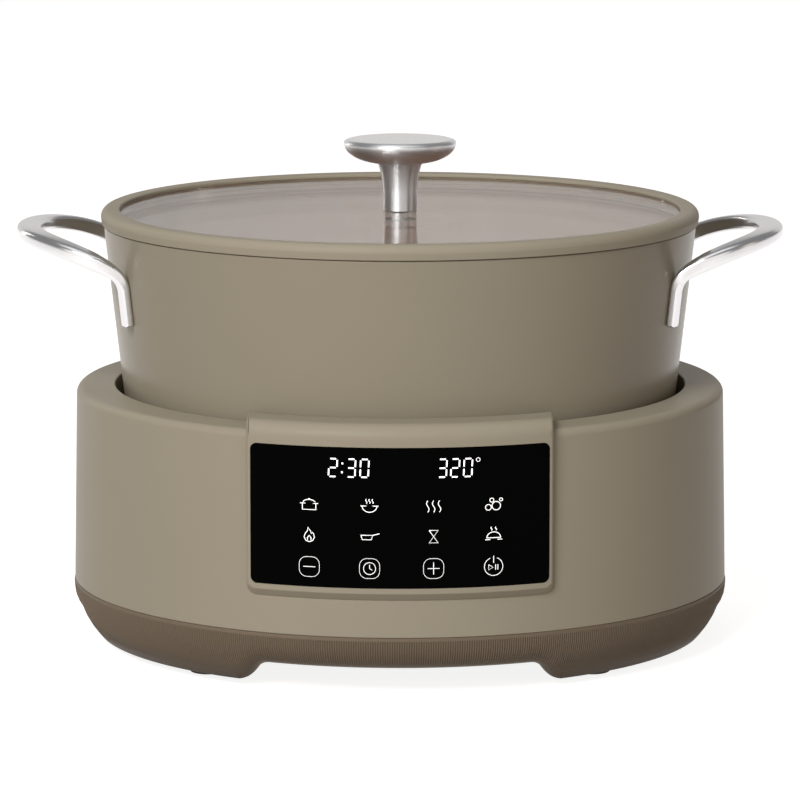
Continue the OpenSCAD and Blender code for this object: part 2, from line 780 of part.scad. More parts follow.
module base_screws() {
    color(pale_metal) around(house_screw_angles, house_screw_ring_r)
        screw_up(1.5, house_seat_z, house_seat_h + house_boss_h - 6);
}

// Heated well
module heat_liner() {
    color(pale_metal) difference() {
        turned([
            [liner_hole_r, liner_low_z, 0], [liner_out_r, liner_low_z, 3], [liner_out_r, collar_z, 0],
            [liner_r, collar_z, 0], [liner_r, liner_top_z, 2.2], [liner_hole_r, liner_top_z, 0]]);
        around(concat(pillar_angles, spacer_angles), fixing_r) rod(2, liner_low_z - 1, liner_t + 2);
    }
}

module liner_screws() {
    color(pale_metal) around(pillar_angles, fixing_r) {
        rod(3.2, liner_top_z, 1.8);
        rod(1.4, liner_low_z - 12, 13);
    }
}

module heater_plate() {
    color(pale_metal) difference() {
        turned([
            [0, plate_low_z, 0], [plate_r, plate_low_z, 1], [plate_r, plate_z, 2], [0, plate_z, 0]]);
        rod(cap_r + slide_gap, plate_low_z - 1, plate_t + 2);
        rotate_extrude() translate([tube_ring_r, plate_low_z]) circle(r = tube_r + fit);
        around(spacer_angles, fixing_r) rod(1.6, plate_low_z - 1, 8);
        around([0, 180], cup_screw_ring_r) rod(1.4, plate_low_z - 1, small_screw_l + 1);
        for (x = [-9, 9]) translate([x, fuse_y, 0]) rod(1.4, plate_low_z - 1, small_screw_l + 1);
    }
}

module heater_tube() {
    color(copper) {
        rotate([0, 0, 110]) rotate_extrude(angle = 320, convexity = 4)
            translate([tube_ring_r, plate_low_z]) circle(r = tube_r);
        around(heater_pin_angles, tube_ring_r) rod(1.6, plate_low_z - lead_drop, lead_drop);
    }
}

module heater_spacers() {
    color(steel) around(spacer_angles, fixing_r) difference() {
        rod(4, liner_top_z, spacer_h);
        rod(2, liner_top_z - 1, spacer_h + 2);
    }
}

module heater_screws() {
    color(pale_metal) around(spacer_angles, fixing_r) screw_up(1.5, liner_low_z, liner_t + spacer_h + 6);
}

// Sensor that presses up against the pot
module sensor_cap() {
    color(pale_metal) difference() {
        union() {
            turned([[0, cap_low_z, 0], [cap_r, cap_low_z, 0.6], [cap_r, plate_z, 1.2], [0, plate_z, 0]]);
            rod(plunger_r, clip_z - 3, cap_low_z - clip_z + 4);
        }
        difference() {
            rod(plunger_r + 1, clip_z - fit, 1 + 2 * fit);
            rod(plunger_r - 1, clip_z - 1, 3);
        }
    }
}

module sensor_clip() {
    color(steel) difference() {
        rod(plunger_r + 3, clip_z, 1);
        rod(plunger_r - 1 + fit, clip_z - 1, 3);
        translate([0, -1.5, clip_z - 1]) cube([20, 3, 3]);
    }
}

module sensor_spring() {
    from = cup_low_z + spring_wire_r;
    to = cap_low_z - spring_wire_r;
    steps = spring_turns * 14;
    color(steel) skin([for (i = [0 : steps])
        let (a = 360 * spring_turns * i / steps, t = i / steps,
             rise = min(1, max(0, (t * spring_turns - 0.7) / (spring_turns - 1.4))))
        [for (k = [0 : 5]) let (b = 60 * k)
            [(spring_r + spring_wire_r * cos(b)) * cos(a), (spring_r + spring_wire_r * cos(b)) * sin(a),
             mix(from, to, rise) + spring_wire_r * sin(b)]]]);
}

module sensor_cup() {
    color(steel) difference() {
        turned([
            [plunger_r + slide_gap, cup_low_z - cup_wall, 0],
            [cup_in_r + cup_wall, cup_low_z - cup_wall, 1.5],
            [cup_in_r + cup_wall, plate_low_z - cup_wall, 0], [cup_in_r + 9, plate_low_z - cup_wall, 0],
            [cup_in_r + 9, plate_low_z, 0], [cup_in_r, plate_low_z, 0],
            [cup_in_r, cup_low_z, 0.6], [plunger_r + slide_gap, cup_low_z, 0]]);
        around([0, 180], cup_screw_ring_r) rod(1.8, plate_low_z - 3, 5);
    }
}

module cup_screws() {
    color(pale_metal) around([0, 180], cup_screw_ring_r)
        screw_up(1.3, plate_low_z - cup_wall, small_screw_l);
}

// Safety fuse held against the heater plate
module thermal_fuse() {
    color([0.75, 0.70, 0.60]) fuse_body(0, 12);
}

module fuse_body(grow, length) {
    translate([-length / 2, fuse_y, fuse_z]) rotate([0, 90, 0]) cylinder(r = fuse_r + grow, h = length);
}

module fuse_strap() {
    half = fuse_r + fit;
    color(steel) difference() {
        union() {
            translate([-4.5, fuse_y - half - 1.4, fuse_z - half - 1])
                cube([9, 2 * half + 2.8, 2 * half + 1]);
            translate([-13, fuse_y - 4, plate_low_z - 1]) cube([26, 8, 1]);
        }
        fuse_body(fit, 12);
        translate([-5, fuse_y - half, fuse_z]) cube([10, 2 * half, half + 1]);
        for (x = [-9, 9]) translate([x, fuse_y, 0]) rod(1.6, plate_low_z - 3, 5);
    }
}

module strap_screws() {
    color(pale_metal) for (x = [-9, 9]) translate([x, fuse_y, 0])
        screw_up(1.3, plate_low_z - 1, small_screw_l);
}

// Power side
module power_board() {
    color(board_green) difference() {
        translate([-power_w / 2, power_y, power_low_z]) cube([power_w, power_d, board_t]);
        for (p = power_holes) translate(p) rod(1.5, power_low_z - 1, board_t + 2);
    }
}

module power_relay() {
    color([0.15, 0.25, 0.50]) translate([-power_w / 2 + 12, parts_rear_y - 15.5, power_top_z])
        cube([19, 15.5, 15.5]);
}

module power_transformer() {
    color([0.55, 0.45, 0.20]) translate([power_w / 2 - 34, parts_rear_y - 18, power_top_z])
        cube([22, 18, 16]);
}

module line_capacitor() {
    color([0.10, 0.12, 0.18]) translate([0, power_y + 12, 0]) rod(5, power_top_z, 14);
}

module power_screws() {
    color(pale_metal) for (p = power_holes) translate(p) {
        rod(2.2, power_top_z, 1.4);
        rod(1, power_top_z - board_t - 3, board_t + 3.2);
    }
}

module power_inlet() {
    color(black) difference() {
        union() {
            along_y(inlet_outline(0), inlet_back_y, inlet_y);
            intersection() {
                along_y(inlet_outline(2.5), inlet_back_y, inlet_y);
                rod(shell_r(inlet_z + inlet_h / 2 + 2.5) - shell_wall - fit,
                    inlet_z - inlet_h, 2 * inlet_h);
            }
        }
        along_y(box_outline(inlet_mouth_w, inlet_z - inlet_mouth_h / 2, inlet_z + inlet_mouth_h / 2, 2.5),
                inlet_y - inlet_mouth_d, inlet_y + 5);
        for (p = pin_places) pin(p, fit, inlet_back_y - 5, inlet_y);
    }
}

module pin(place, grow, from, to) {
    translate([place[0] - pin_w / 2 - grow, from, inlet_z + place[1] - pin_h / 2 - grow])
        cube([pin_w + 2 * grow, to - from, pin_h + 2 * grow]);
}

module inlet_pins() {
    color(steel) for (p = pin_places) pin(p, 0, pin_tail_y, pin_tip_y);
}

module inlet_leads() {
    rear_y = power_y + power_d - 5;
    color([0.60, 0.20, 0.15]) for (p = pin_places) {
        tail = [p[0], pin_tail_y, inlet_z + p[1]];
        foot = [p[0] * 1.6, rear_y, power_top_z];
        wire(foot, foot + [0, 0, 14], tail - [0, 16, 0], tail, 1, [1, 0, 0]);
    }
}

module heater_leads() {
    color([0.75, 0.72, 0.65]) for (a = heater_pin_angles) {
        top = [tube_ring_r * cos(a), lead_y, plate_low_z - lead_drop];
        foot = [top[0] * 1.5, lead_y, power_top_z];
        wire(foot, foot + [0, 0, 8], top - [0, 0, 8], top, lead_r, [0, 1, 0]);
    }
}

module panel_ribbon() {
    x = power_w / 2 - 15;
    start = [x, board_y + 0.8, board_low_z + 3];
    low = [x, board_y + 34, pan_top_z + 5];
    finish = [x, power_y + 2, power_top_z + 0.6];
    color([0.70, 0.70, 0.68]) skin(concat(
        ribbon_rings(start, start - [0, 0, 22], low - [0, 22, 0], low, 0),
        ribbon_rings(low, low + [0, 40, 0], finish - [0, 40, 0], finish, 1)));
}

// Rings of a flat cable along a curve from a to d
function ribbon_rings(a, b, c, d, first) =
    [for (i = [first : 10])
        ring(curve(a, b, c, d, i / 10), curve_dir(a, b, c, d, i / 10), [1, 0, 0], 14, 1, 4)];

lid_glass();
lid_rim();
lid_knob();
knob_gasket();
glass_washer();
knob_screw();
pot_shell();
handle_left();
handle_right();
handle_rivets();
outer_shell();
panel_bezel();
panel_lens();
control_board();
time_display();
heat_display();
touch_pads();
control_screws();
base_pan();
rubber_foot(foot_angles[2]);  // foot_front_left
rubber_foot(foot_angles[3]);  // foot_front_right
rubber_foot(foot_angles[1]);  // foot_rear_left
rubber_foot(foot_angles[0]);  // foot_rear_right
base_screws();
heat_liner();
liner_screws();
heater_plate();
heater_tube();
heater_spacers();
heater_screws();
sensor_cap();
sensor_clip();
sensor_spring();
sensor_cup();
cup_screws();
thermal_fuse();
fuse_strap();
strap_screws();
power_board();
power_relay();
power_transformer();
line_capacitor();
power_screws();
power_inlet();
inlet_pins();
inlet_leads();
heater_leads();
panel_ribbon();
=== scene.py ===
import bpy, bmesh
import json, math
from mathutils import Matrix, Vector


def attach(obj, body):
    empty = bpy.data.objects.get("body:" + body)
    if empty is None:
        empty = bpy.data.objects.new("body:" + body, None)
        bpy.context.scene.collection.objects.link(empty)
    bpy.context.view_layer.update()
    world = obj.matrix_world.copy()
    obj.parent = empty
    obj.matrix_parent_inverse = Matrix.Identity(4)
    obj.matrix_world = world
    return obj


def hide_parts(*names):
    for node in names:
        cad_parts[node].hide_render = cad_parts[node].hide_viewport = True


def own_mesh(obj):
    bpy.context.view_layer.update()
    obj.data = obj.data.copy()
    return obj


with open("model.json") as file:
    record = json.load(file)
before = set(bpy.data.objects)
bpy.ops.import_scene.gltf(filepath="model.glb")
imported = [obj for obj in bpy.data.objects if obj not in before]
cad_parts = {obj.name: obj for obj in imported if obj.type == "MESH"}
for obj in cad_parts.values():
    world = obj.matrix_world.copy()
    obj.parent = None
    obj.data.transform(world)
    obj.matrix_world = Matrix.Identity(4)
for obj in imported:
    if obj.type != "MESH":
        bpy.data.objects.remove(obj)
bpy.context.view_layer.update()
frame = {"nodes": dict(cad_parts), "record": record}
cadNodes = frame["nodes"]
mm = 0.001
print("frame loaded:", len(cadNodes), "nodes")


# helpers for modelling

def pickOnly(*chosen):  # object mode, with only these selected and the last one active
    if bpy.context.mode != "OBJECT":
        bpy.ops.object.mode_set(mode="OBJECT")
    bpy.ops.object.select_all(action="DESELECT")
    for obj in chosen:
        obj.select_set(True)
        bpy.context.view_layer.objects.active = obj


def named(name):  # names the primitive that was just added
    obj = bpy.context.object
    obj.name = obj.data.name = name
    return obj


def mixed(a, b, t):  # part of the way from a to b
    return a + (b - a) * t


def arc(x, z, r, start, end, steps=20, tall=1.0):  # degrees, anticlockwise
    return [(x + r * math.cos(math.radians(mixed(start, end, k / steps))),
             z + tall * r * math.sin(math.radians(mixed(start, end, k / steps)))) for k in range(steps + 1)]


def roundedOutline(corners, steps=8):  # corners (x, y, radius) to points along the closed outline
    points = []
    for i, (x, y, radius) in enumerate(corners):
        corner = Vector((x, y))
        if not radius:
            points.append((x, y))
            continue
        back = (Vector(corners[i - 1][:2]) - corner).normalized()
        ahead = (Vector(corners[(i + 1) % len(corners)][:2]) - corner).normalized()
        half = back.angle(ahead) / 2
        middle = corner + (back + ahead).normalized() * radius / math.sin(half)
        first = corner + back * radius / math.tan(half) - middle
        last = corner + ahead * radius / math.tan(half) - middle
        start = math.atan2(first.y, first.x)
        turn = (math.atan2(last.y, last.x) - start + 3 * math.pi) % (2 * math.pi) - math.pi
        for k in range(steps + 1):
            at = start + turn * k / steps
            points.append((middle.x + radius * math.cos(at), middle.y + radius * math.sin(at)))
    return points


def turnPiece(name, outline, steps=192, closed=True):  # profile drawn point by point, then spun
    pickOnly()
    bpy.ops.mesh.primitive_plane_add(size=0.01)
    piece = named(name)
    bpy.ops.object.mode_set(mode="EDIT")
    bpy.ops.mesh.select_all(action="SELECT")
    bpy.ops.mesh.merge(type="CENTER")
    r, z = outline[0]
    bpy.ops.transform.translate(value=(r * mm, 0, z * mm))
    for nextR, nextZ in outline[1:] + (outline[:1] if closed else []):
        bpy.ops.mesh.extrude_region_move(
            TRANSFORM_OT_translate={"value": ((nextR - r) * mm, 0, (nextZ - z) * mm)})
        r, z = nextR, nextZ
    bpy.ops.mesh.select_all(action="SELECT")
    bpy.ops.mesh.remove_doubles(threshold=1e-6)
    bpy.ops.mesh.spin(steps=steps, angle=2 * math.pi, center=(0, 0, 0), axis=(0, 0, 1))
    closeSkin()
    smoothed(piece)
    return piece


def closeSkin():  # in edit mode: merges doubles, turns all faces outwards
    bpy.ops.mesh.select_all(action="SELECT")
    bpy.ops.mesh.remove_doubles(threshold=1e-6)
    bpy.ops.mesh.normals_make_consistent(inside=False)


def loftRings(name, rings, fill="NOTHING"):  # each ring of points extruded from the last; stays in edit mode
    pickOnly()
    bpy.ops.mesh.primitive_circle_add(vertices=len(rings[0]), radius=0.001, fill_type=fill)
    piece = named(name)
    bpy.ops.object.mode_set(mode="EDIT")
    ring = list(bmesh.from_edit_mesh(piece.data).verts)
    for i, points in enumerate(rings):
        if i:
            bpy.ops.mesh.extrude_region_move()
            order = {tuple(v.co): k for k, v in enumerate(ring)}
            fresh = [v for v in bmesh.from_edit_mesh(piece.data).verts if v.select]
            ring = sorted(fresh, key=lambda v: order[tuple(v.co)])
        for v, point in zip(ring, points):
            v.co = Vector(point) * mm
        bmesh.update_edit_mesh(piece.data)
    return piece


def smoothed(piece, angle=35):
    pickOnly(piece)
    bpy.ops.object.shade_smooth_by_angle(angle=math.radians(angle))


def boxPiece(name, low, high):  # cube between two corners, in mm
    pickOnly()
    bpy.ops.mesh.primitive_cube_add(size=1)
    piece = named(name)
    bpy.ops.object.mode_set(mode="EDIT")
    bpy.ops.transform.resize(value=[(b - a) * mm for a, b in zip(low, high)], center_override=(0, 0, 0))
    bpy.ops.transform.translate(value=[(b + a) / 2 * mm for a, b in zip(low, high)])
    return piece


def roundEdges(piece, picked, radius, segments=8):  # bevels the edges that picked() chooses
    pickOnly(piece)
    bpy.ops.object.mode_set(mode="EDIT")
    bpy.ops.mesh.select_mode(type="EDGE")
    bpy.ops.mesh.select_all(action="DESELECT")
    mesh = bmesh.from_edit_mesh(piece.data)
    for edge in mesh.edges:
        edge.select_set(picked((edge.verts[0].co + edge.verts[1].co) / 2 / mm,
                               (edge.verts[1].co - edge.verts[0].co).normalized()))
    bmesh.update_edit_mesh(piece.data)
    bpy.ops.mesh.bevel(offset=radius * mm, segments=segments, profile=0.5, affect="EDGES")
    bpy.ops.mesh.select_mode(type="VERT")
    pickOnly(piece)


def combine(piece, other, how):  # boolean with another piece, which is used up
    change = piece.modifiers.new("cut", "BOOLEAN")
    change.operation = how
    change.solver = "EXACT"
    change.object = other
    pickOnly(piece)
    bpy.ops.object.modifier_apply(modifier=change.name)
    bpy.data.objects.remove(other, do_unlink=True)


def softenEdges(piece, width, segments=3, angle=35):
    change = piece.modifiers.new("soft", "BEVEL")
    change.width = width * mm
    change.segments = segments
    change.limit_method = "ANGLE"
    change.angle_limit = math.radians(angle)
    change.harden_normals = False
    pickOnly(piece)
    bpy.ops.object.modifier_apply(modifier=change.name)
    smoothed(piece)


def flatFaces(piece):  # keeps broad faces flat beside their rounded edges
    change = piece.modifiers.new("flat", "WEIGHTED_NORMAL")
    change.keep_sharp = True
    pickOnly(piece)
    bpy.ops.object.modifier_apply(modifier=change.name)


# finishes

def startFinish(name):
    finish = bpy.data.materials.new(name)
    finish.use_nodes = True
    return finish, finish.node_tree, finish.node_tree.nodes["Principled BSDF"]


def addNode(tree, kind, links=None, **values):  # values set settings or inputs, links join outputs to inputs
    node = tree.nodes.new("ShaderNode" + kind)
    for key, value in values.items():
        if hasattr(node, key):
            setattr(node, key, value)
        else:
            node.inputs[key.replace("_", " ")].default_value = value
    for key, output in (links or {}).items():
        tree.links.new(output, node.inputs[key])
    return node


def srgb(r, g, b):  # 0 to 255 as seen, to the linear colour a socket takes
    shares = (r / 255, g / 255, b / 255)
    return tuple(c / 12.92 if c <= 10 / 255 else ((c + 0.055) / 1.055) ** 2.4 for c in shares) + (1,)


def mixColours(tree, factor, first, second):  # each colour a value or another node's output
    mix = tree.nodes.new("ShaderNodeMix")
    mix.data_type = "RGBA"
    tree.links.new(factor, mix.inputs[0])
    for socket, colour in ((mix.inputs[6], first), (mix.inputs[7], second)):
        if isinstance(colour, tuple):
            socket.default_value = colour
        else:
            tree.links.new(colour, socket)
    return mix.outputs[2]


def speckled(name, look):  # moulded, painted or rubber surface: clouded colour, fine grain, uneven gloss
    finish, tree, shader = startFinish(name)
    place = addNode(tree, "TexCoord").outputs["Object"]
    cloudSize = look.get("cloud", 14)
    clouds = addNode(tree, "TexNoise", {"Vector": place}, Scale=cloudSize, Detail=4).outputs["Fac"]
    grain = addNode(tree, "TexNoise", {"Vector": place}, Scale=look["grain"], Detail=3).outputs["Fac"]
    colour = mixColours(tree, clouds, look["colour"], look["shade"])
    if "paintedShade" in look:  # painted shade between the ribs and towards the foot, where the mesh marks it
        depth = addNode(tree, "Attribute", attribute_name="paintedShade").outputs["Fac"]
        colour = mixColours(tree, depth, colour, look["paintedShade"])
    tree.links.new(colour, shader.inputs["Base Color"])
    low, high = look["rough"]
    rough = addNode(tree, "MapRange", {"Value": clouds}, To_Min=low, To_Max=high)
    tree.links.new(rough.outputs["Result"], shader.inputs["Roughness"])
    bump = addNode(tree, "Bump", {"Height": grain}, Strength=look["bump"], Distance=0.0002)
    tree.links.new(bump.outputs["Normal"], shader.inputs["Normal"])
    for socket, value in look.get("sockets", {}).items():
        shader.inputs[socket].default_value = value
    return finish


def turnedMetal(name, look):  # fine rings round the axis, as a lathe or a buffing wheel leaves them
    finish, tree, shader = startFinish(name)
    place = addNode(tree, "TexCoord").outputs["Object"]
    split = addNode(tree, "SeparateXYZ", {"Vector": place})
    flat = addNode(tree, "CombineXYZ", {"X": split.outputs["X"], "Y": split.outputs["Y"]})
    radius = addNode(tree, "VectorMath", {0: flat.outputs["Vector"]}, operation="LENGTH")
    angle = addNode(tree, "Math", {0: split.outputs["Y"], 1: split.outputs["X"]}, operation="ARCTAN2")
    sweep = addNode(tree, "Math", {0: angle.outputs["Value"]}, operation="MULTIPLY")
    sweep.inputs[1].default_value = look.get("streak", 0.0006)
    rings = addNode(tree, "CombineXYZ", {"X": radius.outputs["Value"], "Y": sweep.outputs["Value"],
                                         "Z": split.outputs["Z"]})
    lines = addNode(tree, "TexNoise", {"Vector": rings.outputs["Vector"]}, Scale=look["lines"], Detail=4)
    metalSockets(tree, shader, look, lines.outputs["Fac"])
    return finish


def drawnMetal(name, look):  # fine lines along the piece, from its own UV map
    finish, tree, shader = startFinish(name)
    place = addNode(tree, "TexCoord").outputs["UV"]
    along = addNode(tree, "Mapping", {"Vector": place}, Scale=look["stretch"])
    lines = addNode(tree, "TexNoise", {"Vector": along.outputs["Vector"]}, Scale=1, Detail=4)
    metalSockets(tree, shader, look, lines.outputs["Fac"])
    way = addNode(tree, "Tangent", direction_type="UV_MAP", uv_map="lines")
    tree.links.new(way.outputs["Tangent"], shader.inputs["Tangent"])
    return finish


def metalSockets(tree, shader, look, lines):
    shader.inputs["Metallic"].default_value = 1
    shader.inputs["Anisotropic"].default_value = look.get("brushed", 0)
    shader.inputs["Anisotropic Rotation"].default_value = 0.25  # the brushing spreads light across its lines
    tree.links.new(mixColours(tree, lines, look["colour"], look["shade"]), shader.inputs["Base Color"])
    low, high = look["rough"]
    rough = addNode(tree, "MapRange", {"Value": lines}, To_Min=low, To_Max=high)
    tree.links.new(rough.outputs["Result"], shader.inputs["Roughness"])
    bump = addNode(tree, "Bump", {"Height": lines}, Strength=look["bump"], Distance=0.00005)
    tree.links.new(bump.outputs["Normal"], shader.inputs["Normal"])


def clearGlass(name, look):
    finish, tree, shader = startFinish(name)
    place = addNode(tree, "TexCoord").outputs["Object"]
    haze = addNode(tree, "TexNoise", {"Vector": place}, Scale=look["haze"], Detail=3).outputs["Fac"]
    low, high = look["rough"]
    rough = addNode(tree, "MapRange", {"Value": haze}, To_Min=low, To_Max=high)
    tree.links.new(rough.outputs["Result"], shader.inputs["Roughness"])
    tree.links.new(mixColours(tree, haze, look["colour"], look["shade"]), shader.inputs["Base Color"])
    shader.inputs["Transmission Weight"].default_value = 1
    shader.inputs["IOR"].default_value = look["ior"]
    shader.inputs["Alpha"].default_value = look["cover"]
    return finish


def boardMask(name, look):  # circuit board: copper tracks under green lacquer
    finish, tree, shader = startFinish(name)
    place = addNode(tree, "TexCoord").outputs["Object"]
    tracks = addNode(tree, "TexBrick", {"Vector": place}, Scale=look["tracks"], Mortar_Size=0.05)
    tracks.inputs["Color1"].default_value = look["colour"]
    tracks.inputs["Color2"].default_value = look["shade"]
    tracks.inputs["Mortar"].default_value = look["track"]
    tree.links.new(tracks.outputs["Color"], shader.inputs["Base Color"])
    bump = addNode(tree, "Bump", {"Height": tracks.outputs["Fac"]}, Strength=0.3, Distance=0.00005)
    tree.links.new(bump.outputs["Normal"], shader.inputs["Normal"])
    shader.inputs["Roughness"].default_value = look["rough"]
    return finish


def glowing(name, look):  # lit legend, a little uneven as a light guide is
    finish, tree, shader = startFinish(name)
    place = addNode(tree, "TexCoord").outputs["Object"]
    patch = addNode(tree, "TexNoise", {"Vector": place}, Scale=look["patch"], Detail=1).outputs["Fac"]
    glow = mixColours(tree, patch, look["colour"], look["shade"])
    tree.links.new(glow, shader.inputs["Emission Color"])
    tree.links.new(glow, shader.inputs["Base Color"])
    shader.inputs["Emission Strength"].default_value = look["strength"]
    shader.inputs["Roughness"].default_value = 0.4
    return finish


taupe = {"colour": srgb(155, 147, 130), "shade": srgb(151, 143, 126), "grain": 1900, "bump": 0.05,
         "rough": (0.38, 0.44), "sockets": {"Specular IOR Level": 0.1}}
finishes = {
    "shell": speckled("satinTaupe", taupe),
    "pot": speckled("potCoating", {
        **taupe, "colour": srgb(148, 140, 123), "shade": srgb(144, 136, 119), "rough": (0.22, 0.28),
        "grain": 1400}),
    "potInside": speckled("potLining", {
        "colour": srgb(170, 130, 98), "shade": srgb(164, 124, 93), "grain": 1500, "bump": 0.05,
        "rough": (0.3, 0.36)}),
    "rim": speckled("rimSilicone", {**taupe, "rough": (0.42, 0.5), "grain": 2400}),
    "lip": speckled("lipSilicone", {
        **taupe, "colour": srgb(188, 168, 152), "shade": srgb(182, 162, 146), "rough": (0.42, 0.5),
        "grain": 2400}),
    "skirt": speckled("skirtPlastic", {
        "colour": srgb(119, 106, 90), "shade": srgb(114, 101, 86), "grain": 1700,
        # the darkest colour is painted shade, laid where the mesh marks it
        "paintedShade": srgb(58, 52, 44), "bump": 0.06, "rough": (0.46, 0.54),
        "sockets": {"Specular IOR Level": 0.1}}),
    "steel": turnedMetal("knobSteel", {
        "colour": srgb(238, 239, 241), "shade": srgb(232, 233, 235), "lines": 5200, "rough": (0.32, 0.4),
        "bump": 0.1, "brushed": 0.75}),
    "face": turnedMetal("knobFace", {
        "colour": srgb(244, 244, 246), "shade": srgb(239, 239, 241), "lines": 5200, "rough": (0.2, 0.26),
        "bump": 0.06}),
    "bar": drawnMetal("handleSteel", {
        "colour": srgb(229, 229, 231), "shade": srgb(223, 223, 225), "stretch": (6, 420, 1),
        "rough": (0.22, 0.28), "bump": 0.06, "brushed": 0.5}),
    "glass": clearGlass("lidGlass", {
        "colour": (0.97, 0.91, 0.84, 1), "shade": (0.95, 0.89, 0.82, 1), "haze": 30, "rough": (0.0, 0.02),
        "ior": 1.5, "cover": 0.6}),
    "lens": speckled("panelBlack", {
        "colour": srgb(4, 4, 4), "shade": srgb(3, 3, 3), "grain": 3200, "bump": 0.03, "rough": (0.16, 0.2),
        "sockets": {"Specular IOR Level": 0.01}}),
    "legend": glowing("litLegend", {
        "colour": (0.93, 0.94, 0.95, 1), "shade": (1, 1, 1, 1), "patch": 300, "strength": 0.95}),
    "mark": glowing("litMarks", {
        "colour": (0.9, 0.9, 0.9, 1), "shade": (0.96, 0.96, 0.96, 1), "patch": 300, "strength": 0.7}),
    "seal": speckled("sealRubber", {
        "colour": srgb(46, 42, 39), "shade": srgb(38, 35, 33), "grain": 2600, "bump": 0.12,
        "rough": (0.6, 0.7)}),
    "foot": speckled("footRubber", {
        "colour": srgb(52, 46, 41), "shade": srgb(43, 38, 34), "grain": 2200, "bump": 0.15,
        "rough": (0.66, 0.78)}),
    "fastener": speckled("zincPlate", {
        "colour": srgb(196, 198, 198), "shade": srgb(172, 174, 173), "grain": 900, "bump": 0.1,
        "rough": (0.24, 0.4), "cloud": 120, "sockets": {"Metallic": 1}}),
    "board": boardMask("boardGreen", {
        "colour": srgb(22, 92, 58), "shade": srgb(18, 82, 50), "track": srgb(46, 128, 84), "tracks": 160,
        "rough": 0.35}),
    "display": speckled("displayFace", {
        "colour": srgb(26, 26, 28), "shade": srgb(20, 20, 22), "grain": 2500, "bump": 0.05,
        "rough": (0.2, 0.3)}),
    "liner": speckled("linerSheet", {
        "colour": srgb(190, 192, 194), "shade": srgb(168, 170, 172), "grain": 260, "bump": 0.08,
        "rough": (0.3, 0.44), "sockets": {"Metallic": 1}}),
    "plate": turnedMetal("platedCasting", {
        "colour": srgb(186, 188, 190), "shade": srgb(158, 160, 162), "lines": 1500, "rough": (0.34, 0.5),
        "bump": 0.3, "streak": 0.001}),
    "tube": speckled("tubeOxide", {
        "colour": srgb(132, 118, 104), "shade": srgb(86, 80, 82), "grain": 700, "bump": 0.1,
        "rough": (0.4, 0.55), "cloud": 60, "sockets": {"Metallic": 1}}),
    "fuse": speckled("fuseCeramic", {
        "colour": srgb(214, 204, 184), "shade": srgb(196, 186, 166), "grain": 1600, "bump": 0.1,
        "rough": (0.5, 0.6), "cloud": 200}),
    "component": speckled("componentCase", {
        "colour": srgb(46, 62, 98), "shade": srgb(38, 52, 84), "grain": 1500, "bump": 0.08,
        "rough": (0.4, 0.5), "cloud": 80}),
    "inlet": speckled("inletBlack", {
        "colour": srgb(30, 30, 30), "shade": srgb(24, 24, 24), "grain": 1500, "bump": 0.12,
        "rough": (0.45, 0.55)}),
    "pin": speckled("pinPlating", {
        "colour": srgb(214, 196, 142), "shade": srgb(196, 176, 122), "grain": 800, "bump": 0.05,
        "rough": (0.2, 0.3), "cloud": 160, "sockets": {"Metallic": 1}}),
    "wire": speckled("wireSleeve", {
        "colour": srgb(168, 140, 120), "shade": srgb(150, 124, 106), "grain": 1200, "bump": 0.1,
        "rough": (0.5, 0.6)}),
}
for part in frame["record"]["subparts"]:  # every CAD node takes the finish of its slot
    mesh = cadNodes[part["node"]].data
    mesh.materials.clear()
    mesh.materials.append(finishes[part["material_slot"]])
print("finishes made:", len(finishes))


def giveFinishes(piece, *keys):  # for a piece with more than one, which its faces then choose from
    for key in keys:
        piece.data.materials.append(finishes[key])


def settle(piece, body, slot, *stands, finish=None):  # finish, body, and the CAD nodes it stands for
    flatFaces(piece)
    if not piece.data.materials:
        piece.data.materials.append(finishes[finish or slot])
    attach(piece, body)
    if stands:
        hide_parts(*stands)
    print("piece", piece.name, len(piece.data.polygons), "faces")


# camera and light
camera = {"place": (0, -2.3433, 0.4963), "tilt": 80.641, "lens": 226.3, "sensor": 36, "farthest": 60}
bpy.ops.object.camera_add(location=camera["place"], rotation=(math.radians(camera["tilt"]), 0, 0))
photoCamera = bpy.context.object
photoCamera.name = "photoCamera"
photoCamera.data.lens = camera["lens"]
photoCamera.data.sensor_width = camera["sensor"]
photoCamera.data.clip_end = camera["farthest"]
bpy.context.scene.camera = photoCamera

white, warm = (1, 1, 1), (1, 0.95, 0.89)
lamps = {  # place, aim, width, height, watts, colour
    "keyBox": ((-1.15, -2.46, 2.05), (0, 0, 0.1), 1.3, 1.3, 78, white),
    "topBox": ((-0.1, 0.1, 2.4), (0, 0, 0.1), 1.8, 1.8, 9, white),
    "frontCard": ((-0.3, -3.0, 1.2), (0, 0, 0.2), 9.0, 2.1, 50, warm),
    "rightCard": ((3.3, -0.4, 1.0), (0, 0, 0.2), 1.2, 1.8, 3.6, (1, 0.84, 0.7)),
    "leftStrip": ((-1.9, 2.0, 0.9), (0, 0, 0.2), 0.14, 1.6, 6, warm),
    "backCard": ((0, 3.4, 0.9), (0, 0, 0.2), 5.0, 1.5, 11.4, (1, 0.97, 0.93)),
}
for name, (place, aim, width, height, watts, colour) in lamps.items():
    bpy.ops.object.light_add(type="AREA", location=place)
    lamp = bpy.context.object
    lamp.name = lamp.data.name = name
    lamp.rotation_euler = (Vector(aim) - Vector(place)).to_track_quat("-Z", "Y").to_euler()
    lamp.data.shape = "RECTANGLE"
    lamp.data.color = colour
    lamp.data.size, lamp.data.size_y, lamp.data.energy = width, height, watts


def seenDirectly(tree):  # 1 for what the camera, a mirror or a glass looks at, 0 for light
    path = addNode(tree, "LightPath")
    first = addNode(tree, "Math", {0: path.outputs["Is Camera Ray"], 1: path.outputs["Is Glossy Ray"]},
                    operation="MAXIMUM")
    return addNode(tree, "Math", {0: first.outputs["Value"], 1: path.outputs["Is Transmission Ray"]},
                   operation="MAXIMUM").outputs["Value"]


